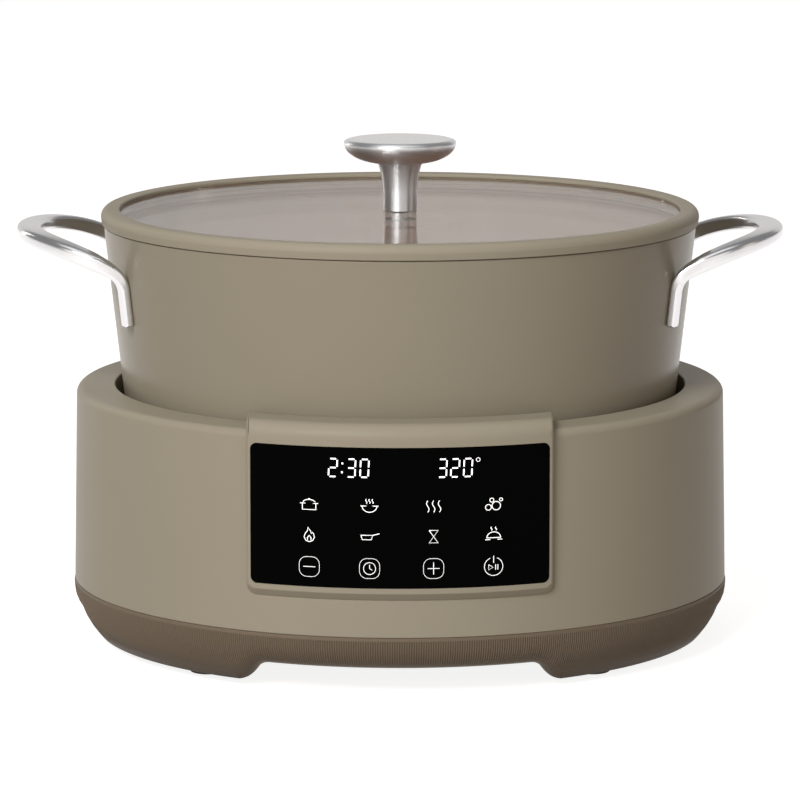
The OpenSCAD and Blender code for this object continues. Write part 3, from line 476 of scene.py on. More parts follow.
studio = {"light": (0.12, 0.112, 0.107, 1), "seen": (0.24, 0.24, 0.24, 1)}
world = bpy.data.worlds.new("studio")
bpy.context.scene.world = world
world.use_nodes = True
worldTree = world.node_tree
sky = worldTree.nodes["Background"].inputs
sky["Strength"].default_value = 1
skyColour = mixColours(worldTree, seenDirectly(worldTree), studio["light"], studio["seen"])
worldTree.links.new(skyColour, sky["Color"])

paper = {"size": 16, "drop": -0.3, "colour": (0.48, 0.445, 0.425, 1), "lift": 0.87}
pickOnly()
bpy.ops.mesh.primitive_plane_add(size=paper["size"], location=(0, 0, paper["drop"] * mm))
floor = named("studioFloor")
floorFinish, floorTree, floorShader = startFinish("floorPaper")
floorShader.inputs["Base Color"].default_value = paper["colour"]
floorShader.inputs["Roughness"].default_value = 1
floorShader.inputs["Specular IOR Level"].default_value = 0
floorShader.inputs["Emission Color"].default_value = (1, 1, 1, 1)
lift = addNode(floorTree, "Math", {0: seenDirectly(floorTree)}, operation="MULTIPLY")
lift.inputs[1].default_value = paper["lift"]
floorTree.links.new(lift.outputs["Value"], floorShader.inputs["Emission Strength"])
floor.data.materials.append(floorFinish)
bpy.context.scene.view_settings.view_transform = "Standard"
print("camera and light set")

# base shell, turned with its ring-shaped top, its collar and its hollow inside
shell = {"seamR": 153.87, "seamZ": 28.0, "topR": 152.17, "topZ": 119.0, "openR": 134.075, "wall": 3,
         "shoulder": 3.8, "rise": 0.6, "lip": 0.8, "collar": 10, "collarW": 2.5, "draft": 1.07,
         "seamEdge": 0.25, "steps": 256}
innerTop, collarZ = shell["topZ"] - shell["wall"], shell["topZ"] - shell["collar"]
collarR = shell["openR"] + shell["collarW"]
housing = turnPiece("baseHousing", roundedOutline([
    (shell["seamR"] - shell["seamEdge"], shell["seamZ"], 0),
    (shell["seamR"], shell["seamZ"] + shell["seamEdge"], 0),
    (shell["topR"], shell["topZ"], shell["shoulder"]),
    (shell["openR"], shell["topZ"] + shell["rise"], shell["lip"]), (shell["openR"], collarZ, 0.4),
    (collarR, collarZ, 0.4), (collarR, innerTop, 1.5), (shell["topR"] - shell["wall"], innerTop, 3),
    (shell["seamR"] - shell["wall"], shell["seamZ"], 0)], 12), shell["steps"])
inlet = {"halfW": 21.4, "lowZ": 33.9, "topZ": 55.1, "corner": 3.1, "depth": (130, 165)}
hole = boxPiece("inletHole", (-inlet["halfW"], inlet["depth"][0], inlet["lowZ"]),
                (inlet["halfW"], inlet["depth"][1], inlet["topZ"]))
roundEdges(hole, lambda at, way: abs(way.y) > 0.9, inlet["corner"])
combine(housing, hole, "DIFFERENCE")
smoothed(housing)
settle(housing, "base", "shell", "outer_shell")

# pot, coated outside and lined inside
pot = {"topR": 138.9, "topZ": 195.0, "lowZ": 64.5, "floorZ": 69.0, "lean": 6.4, "wall": 3.0, "corner": 14,
       "lip": (0.5, 0.9), "lipH": 1, "steps": 256}
slope = math.tan(math.radians(pot["lean"]))
potWall = pot["wall"] / math.cos(math.radians(pot["lean"]))


def potRadius(z):  # outside of the leaning wall
    return pot["topR"] - (pot["topZ"] - z) * slope


potBody = turnPiece("potBody", roundedOutline([
    (0, pot["lowZ"], 0), (potRadius(pot["lowZ"]), pot["lowZ"], pot["corner"]),
    (pot["topR"], pot["topZ"], pot["lip"][0]), (pot["topR"] - potWall, pot["topZ"], pot["lip"][1]),
    (potRadius(pot["floorZ"]) - potWall, pot["floorZ"], pot["corner"] - pot["wall"]), (0, pot["floorZ"], 0)],
    10), pot["steps"], closed=False)
giveFinishes(potBody, "pot", "potInside")
for face in potBody.data.polygons:  # lining where a face looks inwards or up, below the lip
    at, way = face.center, face.normal
    inwards = way.x * at.x + way.y * at.y < -1e-6 or way.z > 0.5
    face.material_index = 1 if inwards and at.z < (pot["topZ"] - pot["lipH"]) * mm else 0
settle(potBody, "pot", "pot", "pot_shell")

# lid: rim with its seal, the glass, and the turned knob
rim = {"z": 195.3, "r": 140.2, "crest": 202.6, "innerR": 131.3, "glassLow": 196.4, "glassTop": 200.4,
       "glassR": 135.35, "glassEdge": 0.6, "holeR": 3.7, "fit": 0.1, "sealOut": 134.8, "sealIn": 132.4,
       "sealZ": 190.4, "step": 1, "stepLow": 1.8, "stepTop": 2.6, "grooveTop": 194.9, "grooveW": 0.9,
       "grooveD": 1.1, "seam": 0.5, "wideH": 3.3, "lean": 0.6, "dip": 0.5, "topRound": 3.6, "steps": 256}
grooveR, grooveLow = rim["sealIn"] + rim["grooveD"], rim["grooveTop"] - rim["grooveW"]
pocketR, stepR = rim["glassR"] + rim["fit"], rim["sealIn"] + rim["step"]
pocketLow, pocketTop = rim["glassLow"] - rim["fit"], rim["glassTop"] + rim["fit"]
lidRim = turnPiece("lidRim", roundedOutline([
    (rim["sealOut"], rim["z"], 0), (rim["r"] - rim["seam"], rim["z"], rim["seam"]),
    (rim["r"], rim["z"] + rim["wideH"], 2), (rim["r"] - rim["lean"], rim["crest"], rim["topRound"]),
    (rim["innerR"], rim["crest"] - rim["dip"], 1), (rim["innerR"], pocketTop, 0), (pocketR, pocketTop, 0),
    (pocketR, pocketLow, 0), (rim["sealIn"], pocketLow, 0.4), (rim["sealIn"], rim["grooveTop"], 0.1),
    (grooveR, rim["grooveTop"], 0.1), (grooveR, grooveLow, 0.1), (rim["sealIn"], grooveLow, 0.1),
    (rim["sealIn"], rim["sealZ"] + rim["stepTop"], 0.4), (stepR, rim["sealZ"] + rim["stepLow"], 0.3),
    (stepR, rim["sealZ"], 0.4), (rim["sealOut"], rim["sealZ"], 0.4)], 8), rim["steps"])
giveFinishes(lidRim, "rim", "lip", "seal")
for face in lidRim.data.polygons:  # paler seal, with painted shade: the dark seal finish on the faces of the recess cut into it, seen through the glass
    at, z = face.center.xy.length / mm, face.center.z / mm
    shadowedRecess = at > rim["sealIn"] + 0.3 and grooveLow - 0.1 < z < rim["grooveTop"] + 0.1
    below = z < rim["glassLow"] and at < rim["sealOut"] + 0.1
    face.material_index = (2 if shadowedRecess else 1) if below else 0
settle(lidRim, "lid", "rim", "lid_rim")
lidPane = turnPiece("lidPane", roundedOutline([
    (rim["holeR"], rim["glassLow"], 0), (rim["glassR"], rim["glassLow"], rim["glassEdge"]),
    (rim["glassR"], rim["glassTop"], rim["glassEdge"]), (rim["holeR"], rim["glassTop"], 0)],
    5), rim["steps"])
settle(lidPane, "lid", "glass", "lid_glass")

knob = {"r": 26.4, "top": 234.19, "head": 11.3, "stemR": 8.0, "stemZ": 201.2, "lipZ": 200.6, "lipW": 0.45,
        "lipEdge": 0.1, "edgeW": 4.4, "edgeH": 1.9, "edgeSteps": 12, "flare": 2.5, "flareH": 14,
        "flareSteps": 16, "lap": 0.1, "under": 80, "underIn": 0.4, "underSteps": 24, "steps": 160}
headZ, wideZ = knob["top"] - knob["head"], knob["top"] - knob["edgeH"]
lipR = knob["stemR"] - knob["lipW"]
profile = [(0, knob["stemZ"]), (lipR, knob["stemZ"]), (lipR, knob["lipZ"]),
           (knob["stemR"] - knob["lipEdge"], knob["lipZ"]), (knob["stemR"], knob["lipZ"] + knob["lipEdge"])]
for k in range(knob["flareSteps"] + 1):  # stem, widening towards the head
    t = k / knob["flareSteps"]
    profile.append((knob["stemR"] + knob["flare"] * t * t,
                    headZ + knob["flareH"] * (t - 1) + knob["lap"] * t))
for k in range(knob["underSteps"] + 1):  # underside of the head
    a = math.radians(knob["under"] - knob["under"] * k / knob["underSteps"])
    profile.append((knob["r"] - (knob["r"] - knob["stemR"] - knob["underIn"]) * (1 - math.cos(a)),
                    wideZ - (wideZ - headZ) * math.sin(a)))
for k in range(1, knob["edgeSteps"] + 1):  # soft edge of its flat top
    a = math.radians(90 * k / knob["edgeSteps"])
    profile.append((knob["r"] - knob["edgeW"] * (1 - math.cos(a)), wideZ + knob["edgeH"] * math.sin(a)))
profile.append((0, knob["top"]))
lidKnob = turnPiece("lidKnob", profile, knob["steps"], closed=False)
giveFinishes(lidKnob, "steel", "face")
for face in lidKnob.data.polygons:
    face.material_index = 1 if face.normal.z > 0.97 and face.center.z > wideZ * mm else 0
settle(lidKnob, "lid", "steel", "lid_knob")

# bent bar handles: a section carried along the foot, the bend and the loop
# each bar: width, thickness, squareness of its section; pulls: how far each curve runs on along its ends
grip = {"span": 109.2, "reach": 40.8, "drop": 41.5, "foot": 16, "footBar": (7, 4.2, 5),
        "loopBar": (10.6, 7.7, 3.8), "tipBar": (11.8, 6.8, 3.2), "tipDrop": 3.2, "bend": (12.5, -2.5, 12.7),
        "rise": 26, "inward": -0.1, "footPull": 7, "bendPull": 9, "loopPull": 18, "tipPull": 0.3,
        "endRound": 1.6, "gap": 0.15, "points": 44, "bendSteps": 16, "loopSteps": 32, "uvLength": 100}


def eased(t):
    return t * t * (3 - 2 * t)


def bezier(a, b, c, d, t):  # point and direction
    s = 1 - t
    at = a * s ** 3 + b * 3 * t * s * s + c * 3 * t * t * s + d * t ** 3
    way = (b - a) * s * s + (c - b) * 2 * t * s + (d - c) * t * t
    return at, way.normalized()


def handleStations():  # middle, direction, side, and bar size, from the foot's lower end to the tip
    footLow = pot["topZ"] - grip["drop"]
    footTop = footLow + grip["foot"]
    off = (grip["gap"] + grip["footBar"][1] / 2) / math.cos(math.radians(pot["lean"]))
    turn = math.asin(grip["span"] / 2 / (potRadius(footLow + grip["foot"] / 2) + grip["footBar"][1] / 2))
    out = Vector((math.cos(turn), math.sin(turn), 0))
    tilt = math.radians(pot["lean"])
    up = Vector((math.sin(tilt) * out.x, math.sin(tilt) * out.y, math.cos(tilt)))
    low = out * (potRadius(footLow) + off) + Vector((0, 0, footLow))
    top = out * (potRadius(footTop) + off) + Vector((0, 0, footTop))
    leg = top + Vector(grip["bend"])
    tip = Vector((pot["topR"] + grip["reach"] - grip["tipBar"][0] / 2, 0, pot["topZ"] - grip["tipDrop"]))
    beforeTip = tip + Vector((0, grip["span"] * grip["tipPull"], 0))
    climb = math.radians(grip["rise"])
    rise = Vector((math.cos(climb), grip["inward"], math.sin(climb))).normalized()
    stations = []
    footSide = Vector((-out.y, out.x, 0))
    for t, shrink in ((0, 0.62), (0.012, 0.86), (0.045, 1), (0.5, 1), (1, 1)):  # rounded lower end
        size = tuple(s - (1 - shrink) * grip["endRound"] for s in grip["footBar"][:2]) + grip["footBar"][2:]
        stations.append((low.lerp(top, t), up, footSide, size))
    for k in range(1, grip["bendSteps"] + 1):
        t = k / grip["bendSteps"]
        at, way = bezier(top, top + up * grip["footPull"], leg - rise * grip["bendPull"], leg, t)
        flat = out.lerp(Vector((1, 0, 0)), eased(t)).normalized()
        size = tuple(mixed(a, b, step)
                     for a, b, step in zip(grip["footBar"], grip["loopBar"], (eased(t), t, t)))
        stations.append((at, way, Vector((-flat.y, flat.x, 0)), size))
    for k in range(1, grip["loopSteps"] + 1):
        t = k / grip["loopSteps"]
        at, way = bezier(leg, leg + rise * grip["loopPull"], beforeTip, tip, t)
        flat = Vector((way.x, way.y, 0)).normalized()
        size = tuple(mixed(a, b, t) for a, b in zip(grip["loopBar"], grip["tipBar"]))
        stations.append((at, way, Vector((-flat.y, flat.x, 0)), size))
    return stations


def barSection(wide, thick, power):  # between an oval and a rectangle
    points = []
    for k in range(grip["points"]):
        a = 2 * math.pi * (k + 0.5) / grip["points"]
        c, d = math.cos(a), math.sin(a)
        points.append((wide / 2 * math.copysign(abs(c) ** (2 / power), c),
                       thick / 2 * math.copysign(abs(d) ** (2 / power), d)))
    return points


def makeHandle(name):
    half = handleStations()
    flip = Vector((1, -1, 1))
    rest = [(at * flip, way * Vector((-1, 1, -1)), side * flip, size)
            for at, way, side, size in reversed(half[:-1])]
    stations = half + rest
    rings, lengths, last = [], [0], stations[0][0]
    for at, way, side, size in stations:
        across = way.cross(side).normalized()
        rings.append([at + side * x + across * y for x, y in barSection(*size)])
        lengths.append(lengths[-1] + (at - last).length)
        last = at
    piece = loftRings(name, rings, "NGON")
    closeSkin()
    pickOnly(piece)
    lines = piece.data.uv_layers.new(name="lines")  # along the bar, and round its section
    for loop in piece.data.loops:
        station, spot = divmod(loop.vertex_index, grip["points"])
        along = lengths[min(station + 1, len(lengths) - 1)] / grip["uvLength"]
        lines.data[loop.index].uv = (along, spot / grip["points"])
    smoothed(piece, 50)
    return piece


rightHandle = makeHandle("rightHandle")
settle(rightHandle, "pot", "steel", "handle_right", finish="bar")
pickOnly(rightHandle)
bpy.ops.object.duplicate()
leftHandle = named("leftHandle")
bpy.ops.object.mode_set(mode="EDIT")
bpy.ops.mesh.select_all(action="SELECT")
bpy.ops.transform.resize(value=(-1, 1, 1), center_override=(0, 0, 0))
bpy.ops.mesh.normals_make_consistent(inside=False)
pickOnly(leftHandle)
settle(leftHandle, "pot", "steel", "handle_left", finish="bar")

# panel bezel: rings from the shell out over its edge, in to the window, and back behind the window
bezel = {"r": 156.46, "z": 45.3, "topZ": 124.38, "halfW": 68.4, "topRound": 6.5, "hookR": 135.08,
         "chamfer": 3.1, "hookRound": 1.5, "corner": 4.6, "edge": 0.8, "upright": 69.5, "fit": 0.1,
         "cornerSteps": 8, "sideSteps": 48, "frontRings": 24, "backRings": 16}
lens = {"frontR": 156.27, "backR": 154.08, "halfW": 66.6, "lowZ": 51.0, "topZ": 114.3, "corner": 3,
        "soft": 0.25, "spare": 5, "depth": (-170, -80), "steps": 360}
fit = bezel["fit"]
ringZ = shell["topZ"] + shell["rise"] + fit
shellR = shell["topR"] + (shell["topZ"] - bezel["z"]) * math.tan(math.radians(shell["draft"]))
behind = (shell["openR"], bezel["z"], 0)
outerPath = roundedOutline([(bezel["r"], bezel["z"], 0), (bezel["r"], bezel["topZ"], bezel["topRound"]),
                            (bezel["hookR"], bezel["topZ"], bezel["hookRound"]),
                            (bezel["hookR"], ringZ, 0), behind], 10)[:-1]
innerPath = roundedOutline([(shellR + fit, bezel["z"], 0),
                            (shell["topR"] + fit, shell["topZ"] + fit, shell["shoulder"]),
                            (bezel["hookR"], ringZ, 0), behind], 10)[:-1]


def pathLength(path):
    return sum(math.dist(a, b) for a, b in zip(path, path[1:]))


def alongPath(path, run):
    for a, b in zip(path, path[1:]):
        step = math.dist(a, b)
        if run <= step:
            return mixed(a[0], b[0], run / step), mixed(a[1], b[1], run / step)
        run -= step
    return path[-1]


outerRun, innerRun, upright = pathLength(outerPath), pathLength(innerPath), bezel["upright"]


def bezelSpot(x, run, lift):  # across, up along the surface, and out from the shell (0) to the front (1)
    inner = run if run < upright else upright + (run - upright) * (innerRun - upright) / (outerRun - upright)
    (r0, z0), (r1, z1) = alongPath(innerPath, inner), alongPath(outerPath, run)
    r, z = mixed(r0, r1, lift), mixed(z0, z1, lift)
    return x, -math.sqrt(r * r - x * x), z


def frameRing(side, low, high, corner, upper):  # rounded frame with the same points on every ring
    outline = roundedOutline([(-side, low, corner), (side, low, corner), (side, high, upper),
                              (-side, high, upper)], bezel["cornerSteps"])
    points = []
    for i, (x, run) in enumerate(outline):
        nextX, nextRun = outline[(i + 1) % len(outline)]
        cornerEnds = (i + 1) % (bezel["cornerSteps"] + 1) == 0
        cuts = bezel["sideSteps"] if cornerEnds else 1
        points += [(mixed(x, nextX, k / cuts), mixed(run, nextRun, k / cuts)) for k in range(cuts)]
    return points


def between(first, last, count):  # rings from the first, left out, to the last
    return [[(mixed(a, c, k / count), mixed(b, d, k / count)) for (a, b), (c, d) in zip(first, last)]
            for k in range(1, count + 1)]


halfW, edge, chamfer = bezel["halfW"], bezel["edge"], bezel["chamfer"]
# half width, lower and upper end, lower and upper corner
outside = frameRing(halfW, 0, outerRun, bezel["corner"], 0.3)
turning = frameRing(halfW - edge * 0.3, chamfer * 0.93, outerRun - 0.1, 3.4, 0.3)
front = frameRing(halfW - edge, chamfer * 1.05, outerRun - 0.3, 3.2, 0.3)
opening = frameRing(lens["halfW"] + fit, lens["lowZ"] - fit - bezel["z"], lens["topZ"] + fit - bezel["z"],
                    lens["corner"], lens["corner"])
rings = [[bezelSpot(x, run, 0) for x, run in outside]]
for ring, sideLift, lowLift in ((outside, 0.7, 0.1), (turning, 0.93, 0.95), (front, 1, 1)):
    rings.append([bezelSpot(x, run, mixed(lowLift, sideLift, min(1, run / bezel["corner"])))
                  for x, run in ring])
rings += [[bezelSpot(x, run, 1) for x, run in ring] for ring in between(front, opening, bezel["frontRings"])]
rings += [[bezelSpot(x, run, lift) for x, run in opening] for lift in (0.9, 0.1)]
rings += [[bezelSpot(x, run, 0) for x, run in ring]
          for ring in [opening] + between(opening, outside, bezel["backRings"])]
frontFrame = loftRings("panelBezel", rings)
closeSkin()
smoothed(frontFrame)
settle(frontFrame, "base", "shell", "panel_bezel")

# panel window: a ring, cut to a block with rounded corners
low, high = lens["lowZ"] - lens["spare"], lens["topZ"] + lens["spare"]
window = turnPiece("panelWindow", [(lens["backR"], low), (lens["frontR"], low), (lens["frontR"], high),
                                   (lens["backR"], high)], lens["steps"])
block = boxPiece("windowBlock", (-lens["halfW"], lens["depth"][0], lens["lowZ"]),
                 (lens["halfW"], lens["depth"][1], lens["topZ"]))
roundEdges(block, lambda at, way: abs(way.y) > 0.9, lens["corner"])
combine(window, block, "INTERSECT")
softenEdges(window, lens["soft"], 2)
settle(window, "base", "lens", "panel_lens")

# lit legends: flat strokes laid on the window's curved face
legend = {"digitW": 3.6, "digitH": 8.0, "slant": 0.045, "gap": 0.5, "digitLine": 0.74, "iconLine": 0.3,
          "keyLine": 0.21, "markLine": 0.4, "proud": 0.03, "flatten": 0.06, "displayZ": 105.1,
          "timeX": (-29.7, -21.6, -15.7), "colonX": -25.6, "heatX": (18.8, 24.4, 30.1), "degreeX": 35.0,
          "columns": (-40.3, -13.5, 14.9, 41.6), "rows": (60, 74.4, 88), "keyHalf": 4.5, "keyRound": 3.3}
segmentsLit = {"0": "abcdef", "2": "abged", "3": "abgcd"}


def digit(figure, x):
    w, h, g = legend["digitW"] / 2, legend["digitH"] / 2, legend["gap"]
    ends = {"a": ((-w + g, h), (w - g, h)), "b": ((w, h - g), (w, g)), "c": ((w, -g), (w, -h + g)),
            "d": ((-w + g, -h), (w - g, -h)), "e": ((-w, -g), (-w, -h + g)), "f": ((-w, h - g), (-w, g)),
            "g": ((-w + g, 0), (w - g, 0))}
    return [[(x + px + pz * legend["slant"], legend["displayZ"] + pz) for px, pz in ends[s]]
            for s in segmentsLit[figure]]


def roundSquare(x, z, half, r):
    points = roundedOutline([(x - half, z - half, r), (x + half, z - half, r), (x + half, z + half, r),
                             (x - half, z + half, r)], 6)
    return points + points[:1]


def layLegend(name, strokes, weight):  # a curve of many strokes, made a mesh and wrapped on the window
    pickOnly()
    bpy.ops.curve.primitive_nurbs_path_add()
    line = bpy.context.object
    line.data.splines.clear()
    line.data.bevel_depth = weight / 2 * mm
    line.data.bevel_resolution = 1
    line.data.use_fill_caps = True
    line.data.dimensions = "3D"
    for points in strokes:
        spline = line.data.splines.new("POLY")
        spline.points.add(len(points) - 1)
        for target, (x, z) in zip(spline.points, points):
            target.co = (x * mm, 0, z * mm, 1)
    bpy.ops.object.convert(target="MESH")
    piece = named(name)
    for v in piece.data.vertices:
        r = lens["frontR"] + legend["proud"] - v.co.y / mm * legend["flatten"]
        v.co.y = -math.sqrt(r * r - (v.co.x / mm) ** 2) * mm
    bpy.ops.object.mode_set(mode="EDIT")
    closeSkin()
    smoothed(piece)
    return piece


digits = [s for f, x in zip("230", legend["timeX"]) for s in digit(f, x)]
digits += [s for f, x in zip("320", legend["heatX"]) for s in digit(f, x)]
for dz in (-2.0, 2.0):  # colon
    x = legend["colonX"] + dz * legend["slant"]
    digits.append([(x, legend["displayZ"] + dz - 0.4), (x, legend["displayZ"] + dz + 0.4)])
settle(layLegend("displayDigits", digits, legend["digitLine"]), "base", "display", finish="legend")

c1, c2, c3, c4 = legend["columns"]
low, middle, high = legend["rows"]
keys = [roundSquare(x, low, legend["keyHalf"], legend["keyRound"]) for x in (c1, c2, c3)]
settle(layLegend("keyOutlines", keys, legend["keyLine"]), "base", "display", finish="mark")
icons = [[(c1 - 2.7, low), (c1 + 2.7, low)]]  # less
icons += [arc(c2, low, 2.7, 0, 360, 28), [(c2, low + 1.7), (c2, low)],
          [(c2, low), (c2 + 1.2, low - 0.7)]]  # time
icons += [[(c3 - 2.7, low), (c3 + 2.7, low)], [(c3, low - 2.7), (c3, low + 2.7)]]  # more
# on, with start and hold inside
icons += [arc(c4, low, 4.1, 112, 428, 40), [(c4, low + 4.8), (c4, low + 1.6)]]
icons += [[(c4 - 2.2, low + 0.9), (c4 - 0.2, low - 0.3), (c4 - 2.2, low - 1.5), (c4 - 2.2, low + 0.9)]]
icons += [[(c4 + dx, low + 0.9), (c4 + dx, low - 1.5)] for dx in (0.9, 1.9)]
icons += [arc(legend["degreeX"] - 0.4, legend["displayZ"] + 3.4, 0.85, 0, 360, 16)]  # degree ring
settle(layLegend("touchIcons", icons, legend["iconLine"]), "base", "display", finish="mark")


def wave(x, z, height, sway):  # one curl of steam
    return [(x + sway * math.sin(2 * math.pi * k / 14), z + height * k / 14) for k in range(15)]


marks = []
# upper row: covered pot, rice bowl, steam, bubbles
marks += [[(c1 - 3, high + 0.6), (c1 - 3, high - 2.2), (c1 + 3, high - 2.2), (c1 + 3, high + 0.6)],
          [(c1 - 4, high + 0.6), (c1 + 4, high + 0.6)], arc(c1, high + 0.6, 2.9, 20, 160, 12, 0.6),
          [(c1 - 0.5, high + 2.6), (c1 + 0.5, high + 2.6)]]
marks += [arc(c2, high + 0.2, 3.3, 180, 360, 20, 0.85), [(c2 - 4, high + 0.2), (c2 + 4, high + 0.2)]]
marks += [wave(c2 + dx, high + 1.3, 2.0, 0.3) for dx in (-1.4, 0, 1.4)]
marks += [wave(c3 + dx, high - 2.6, 5.2, 0.55) for dx in (-2.6, 0, 2.6)]
marks += [arc(c4 - 2.4, high - 1.2, 1.3, 0, 360, 18), arc(c4 + 1.1, high - 0.6, 1.9, 0, 360, 22),
          arc(c4 - 0.9, high + 2.0, 0.9, 0, 360, 14), arc(c4 + 3.2, high + 2.1, 0.7, 0, 360, 12)]
# lower row: flame, pan, hourglass, dish kept warm
flame = [(0, -3.1), (1.5, -2.6), (2.3, -1.2), (2.0, 0.4), (1.3, 1.3), (0.9, 0.5), (0.5, 1.9), (-0.6, 3.4),
         (-0.7, 1.9), (-1.7, 0.6), (-2.3, -1.0), (-1.5, -2.6), (0, -3.1)]
core = [(-0.8, -2.3), (-0.8, -1.3), (0, -0.3), (0.8, -1.3), (0.8, -2.3)]
marks += [[(c1 + x, middle + z) for x, z in outline] for outline in (flame, core)]
marks += [[(c2 - 3.8, middle + 0.6), (c2 - 3.2, middle - 1.4), (c2 + 0.8, middle - 1.4),
           (c2 + 1.4, middle + 0.6), (c2 - 3.8, middle + 0.6)],
          [(c2 + 1.4, middle + 0.6), (c2 + 4.4, middle + 1.4)]]
marks += [[(c3 - 2, middle + 2.8), (c3 + 2, middle + 2.8), (c3 - 2, middle - 2.8), (c3 + 2, middle - 2.8),
           (c3 - 2, middle + 2.8)]]
marks += [[(c4 - 3.8, middle - 2.2), (c4 + 3.8, middle - 2.2)], arc(c4, middle - 1.4, 3.1, 0, 180, 18, 0.85),
          [(c4 - 3.1, middle - 1.4), (c4 + 3.1, middle - 1.4)], wave(c4 - 1, middle + 1.9, 1.6, 0.3),
          wave(c4 + 1, middle + 1.9, 1.6, 0.3)]
settle(layLegend("cookMarks", marks, legend["markLine"]), "base", "display", finish="mark")

# ribbed skirt skin over the bottom pan, following its arches
skirt = {"topZ": 28.0, "lowZ": 3.0, "tuck": 10.5, "power": 2.4, "archZ": 12.3, "frontHalf": 64.9,
         "sideHalf": 37, "run": 6.2, "corner": (7, 2.5), "round": 10.2, "under": 7, "underPower": 0.4,
         "ribs": 892, "ribPoints": 4, "ribRows": 8, "rowPower": 1.6, "ribLow": 1.5, "ribFade": 8,
         "rise": 0.35, "flat": 0.05, "band": 1.4, "border": 1.2, "seam": 0.15, "thick": 3.6,
         # how much painted shade falls between the ribs and towards the foot, and over what height
         "paintedRibShade": 0.4, "paintedFootShade": 0.6, "footH": 11, "footPower": 1.5, "core": 142.4, "coreH": 160}


def skirtRadius(z, edge=skirt["lowZ"]):  # at a height, with the edge rounded under the arches
    tall = skirt["topZ"] - skirt["lowZ"]
    r = shell["seamR"] - skirt["tuck"] * max(0, (skirt["topZ"] - z) / tall) ** skirt["power"]
    turned = min(1, max(0, (edge + skirt["round"] - z) / skirt["round"]))
    arched = max(0, (edge - skirt["lowZ"]) / (skirt["archZ"] - skirt["lowZ"]))
    return r - skirt["under"] * arched ** skirt["underPower"] * (1 - math.sqrt(1 - turned * turned))


def archEdge(half):  # height of the arch's edge at a distance from its middle
    top, low = skirt["archZ"], skirt["lowZ"]
    foot = half + skirt["run"]
    # the last corner closes the outline well below, and is left out
    edge = roundedOutline([(-1, top, 0), (half, top, skirt["corner"][0]), (foot, low, skirt["corner"][1]),
                           (foot + 30, low, 0), (half, low - 60, 0)], 10)[:-1]

    def heightAt(x):
        for (x0, z0), (x1, z1) in zip(edge, edge[1:]):
            if x <= x1:
                return mixed(z0, z1, (x - x0) / (x1 - x0))
        return low
    return heightAt


frontEdge, sideEdge = archEdge(skirt["frontHalf"]), archEdge(skirt["sideHalf"])


def skirtEdge(angle):  # lowest point of the skirt in this direction
    z = skirt["lowZ"]
    for k in range(4):  # radius and height settle together
        r = skirtRadius(z)
        z = max(frontEdge(abs(r * math.cos(angle))), sideEdge(abs(r * math.sin(angle))))
    return z


def ribbing(z):  # ribs run out towards the feet
    return min(1, max(0, (z - skirt["lowZ"] - skirt["ribLow"]) / skirt["ribFade"]))


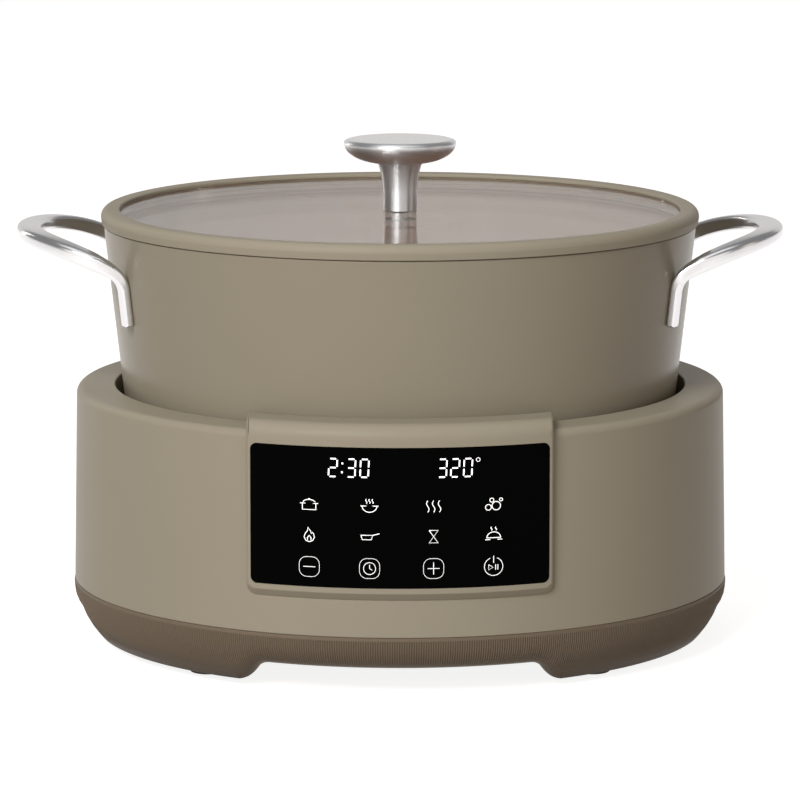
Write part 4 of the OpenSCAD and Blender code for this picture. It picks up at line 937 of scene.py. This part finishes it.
sections, shadeMarks = [], []
around = skirt["ribs"] * skirt["ribPoints"]
for i in range(around):
    angle = 2 * math.pi * (i + 0.5) / around
    raised = i % skirt["ribPoints"] in (1, 2)
    edge = skirtEdge(angle)
    top, bottom = skirt["topZ"] - skirt["seam"], edge + skirt["border"]
    upper = top - skirt["band"] - 0.3
    # height, and how far out from the curve: upper band, ribs, border, and the turn to the inside
    spots = [(top, -0.3), (top - 0.25, skirt["flat"]), (top - skirt["band"], 0.1)]
    ribStart = len(spots)
    for k in range(skirt["ribRows"]):
        z = mixed(upper, bottom + 0.3, 1 - (1 - k / (skirt["ribRows"] - 1)) ** skirt["rowPower"])
        spots.append((z, mixed(skirt["flat"], skirt["rise"], ribbing(z)) if raised else skirt["flat"]))
    ribEnd = len(spots)
    spots += [(bottom, 0.1), (edge + 0.4, 0.06), (edge + 0.08, 0.02), (edge, -0.5),
              (edge + 0.3, -skirt["thick"])]
    section = [(skirtRadius(z, edge) + out, z) for z, out in spots]
    section.append((section[-1][0], top))
    sections.append([(r * math.cos(angle), r * math.sin(angle), z) for r, z in section])
    paintedShades = []  # painted shade between the ribs, and towards the foot
    for k, (r, z) in enumerate(section):
        ribShade = skirt["paintedRibShade"] * ribbing(z) if ribStart <= k < ribEnd and not raised else 0
        footShade = max(0, 1 - (z - skirt["lowZ"]) / skirt["footH"]) ** skirt["footPower"]
        paintedShades.append(min(1, ribShade + skirt["paintedFootShade"] * footShade))
    shadeMarks.append(paintedShades)
skirtSkin = loftRings("ribbedSkirt", list(zip(*sections)) + [[spots[0] for spots in sections]])
bpy.ops.object.mode_set(mode="OBJECT")
# the painted shade, one value a point, kept on the mesh for the skirt's finish
shadeRows = list(zip(*shadeMarks)) + [[0.0] * len(sections)]
shadeValues = [depth for row in shadeRows for depth in row]
skirtSkin.data.attributes.new("paintedShade", "FLOAT", "POINT").data.foreach_set("value", shadeValues)
bpy.ops.object.mode_set(mode="EDIT")
closeSkin()
smoothed(skirtSkin, 30)
settle(skirtSkin, "base", "skirt")

# bottom inside the skirt: the CAD pan without its outer wall
panCore = bpy.data.objects.new("panCore", cadNodes["base_pan"].data.copy())
bpy.context.scene.collection.objects.link(panCore)
pickOnly()
bpy.ops.mesh.primitive_cylinder_add(vertices=256, radius=skirt["core"] * mm, depth=skirt["coreH"] * mm)
combine(panCore, named("coreTrim"), "INTERSECT")
settle(panCore, "base", "skirt", "base_pan")

# sensor spring, wound wire with closed ends, built at one length; the real one shortens as the sensor is
# pressed
coil = {"lowZ": 36.3, "topZ": 58.3, "r": 9, "wire": 0.8, "turns": 5, "closed": 0.7, "steps": 24, "sides": 10,
        "short": 18}
coilRings = []
for i in range(coil["turns"] * coil["steps"] + 1):
    turned = i / coil["steps"]
    angle = 2 * math.pi * turned
    climb = min(1, max(0, (turned - coil["closed"]) / (coil["turns"] - 2 * coil["closed"])))
    z = mixed(coil["lowZ"] + coil["wire"], coil["topZ"] - coil["wire"], climb)
    wire = arc(coil["r"], z, coil["wire"], 0, 360, coil["sides"])[:-1]
    coilRings.append([(r * math.cos(angle), r * math.sin(angle), height) for r, height in wire])
spring = loftRings("sensorSpring", coilRings, "NGON")
closeSkin()
smoothed(spring)
settle(spring, "base", "fastener", "sensor_spring")
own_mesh(spring)
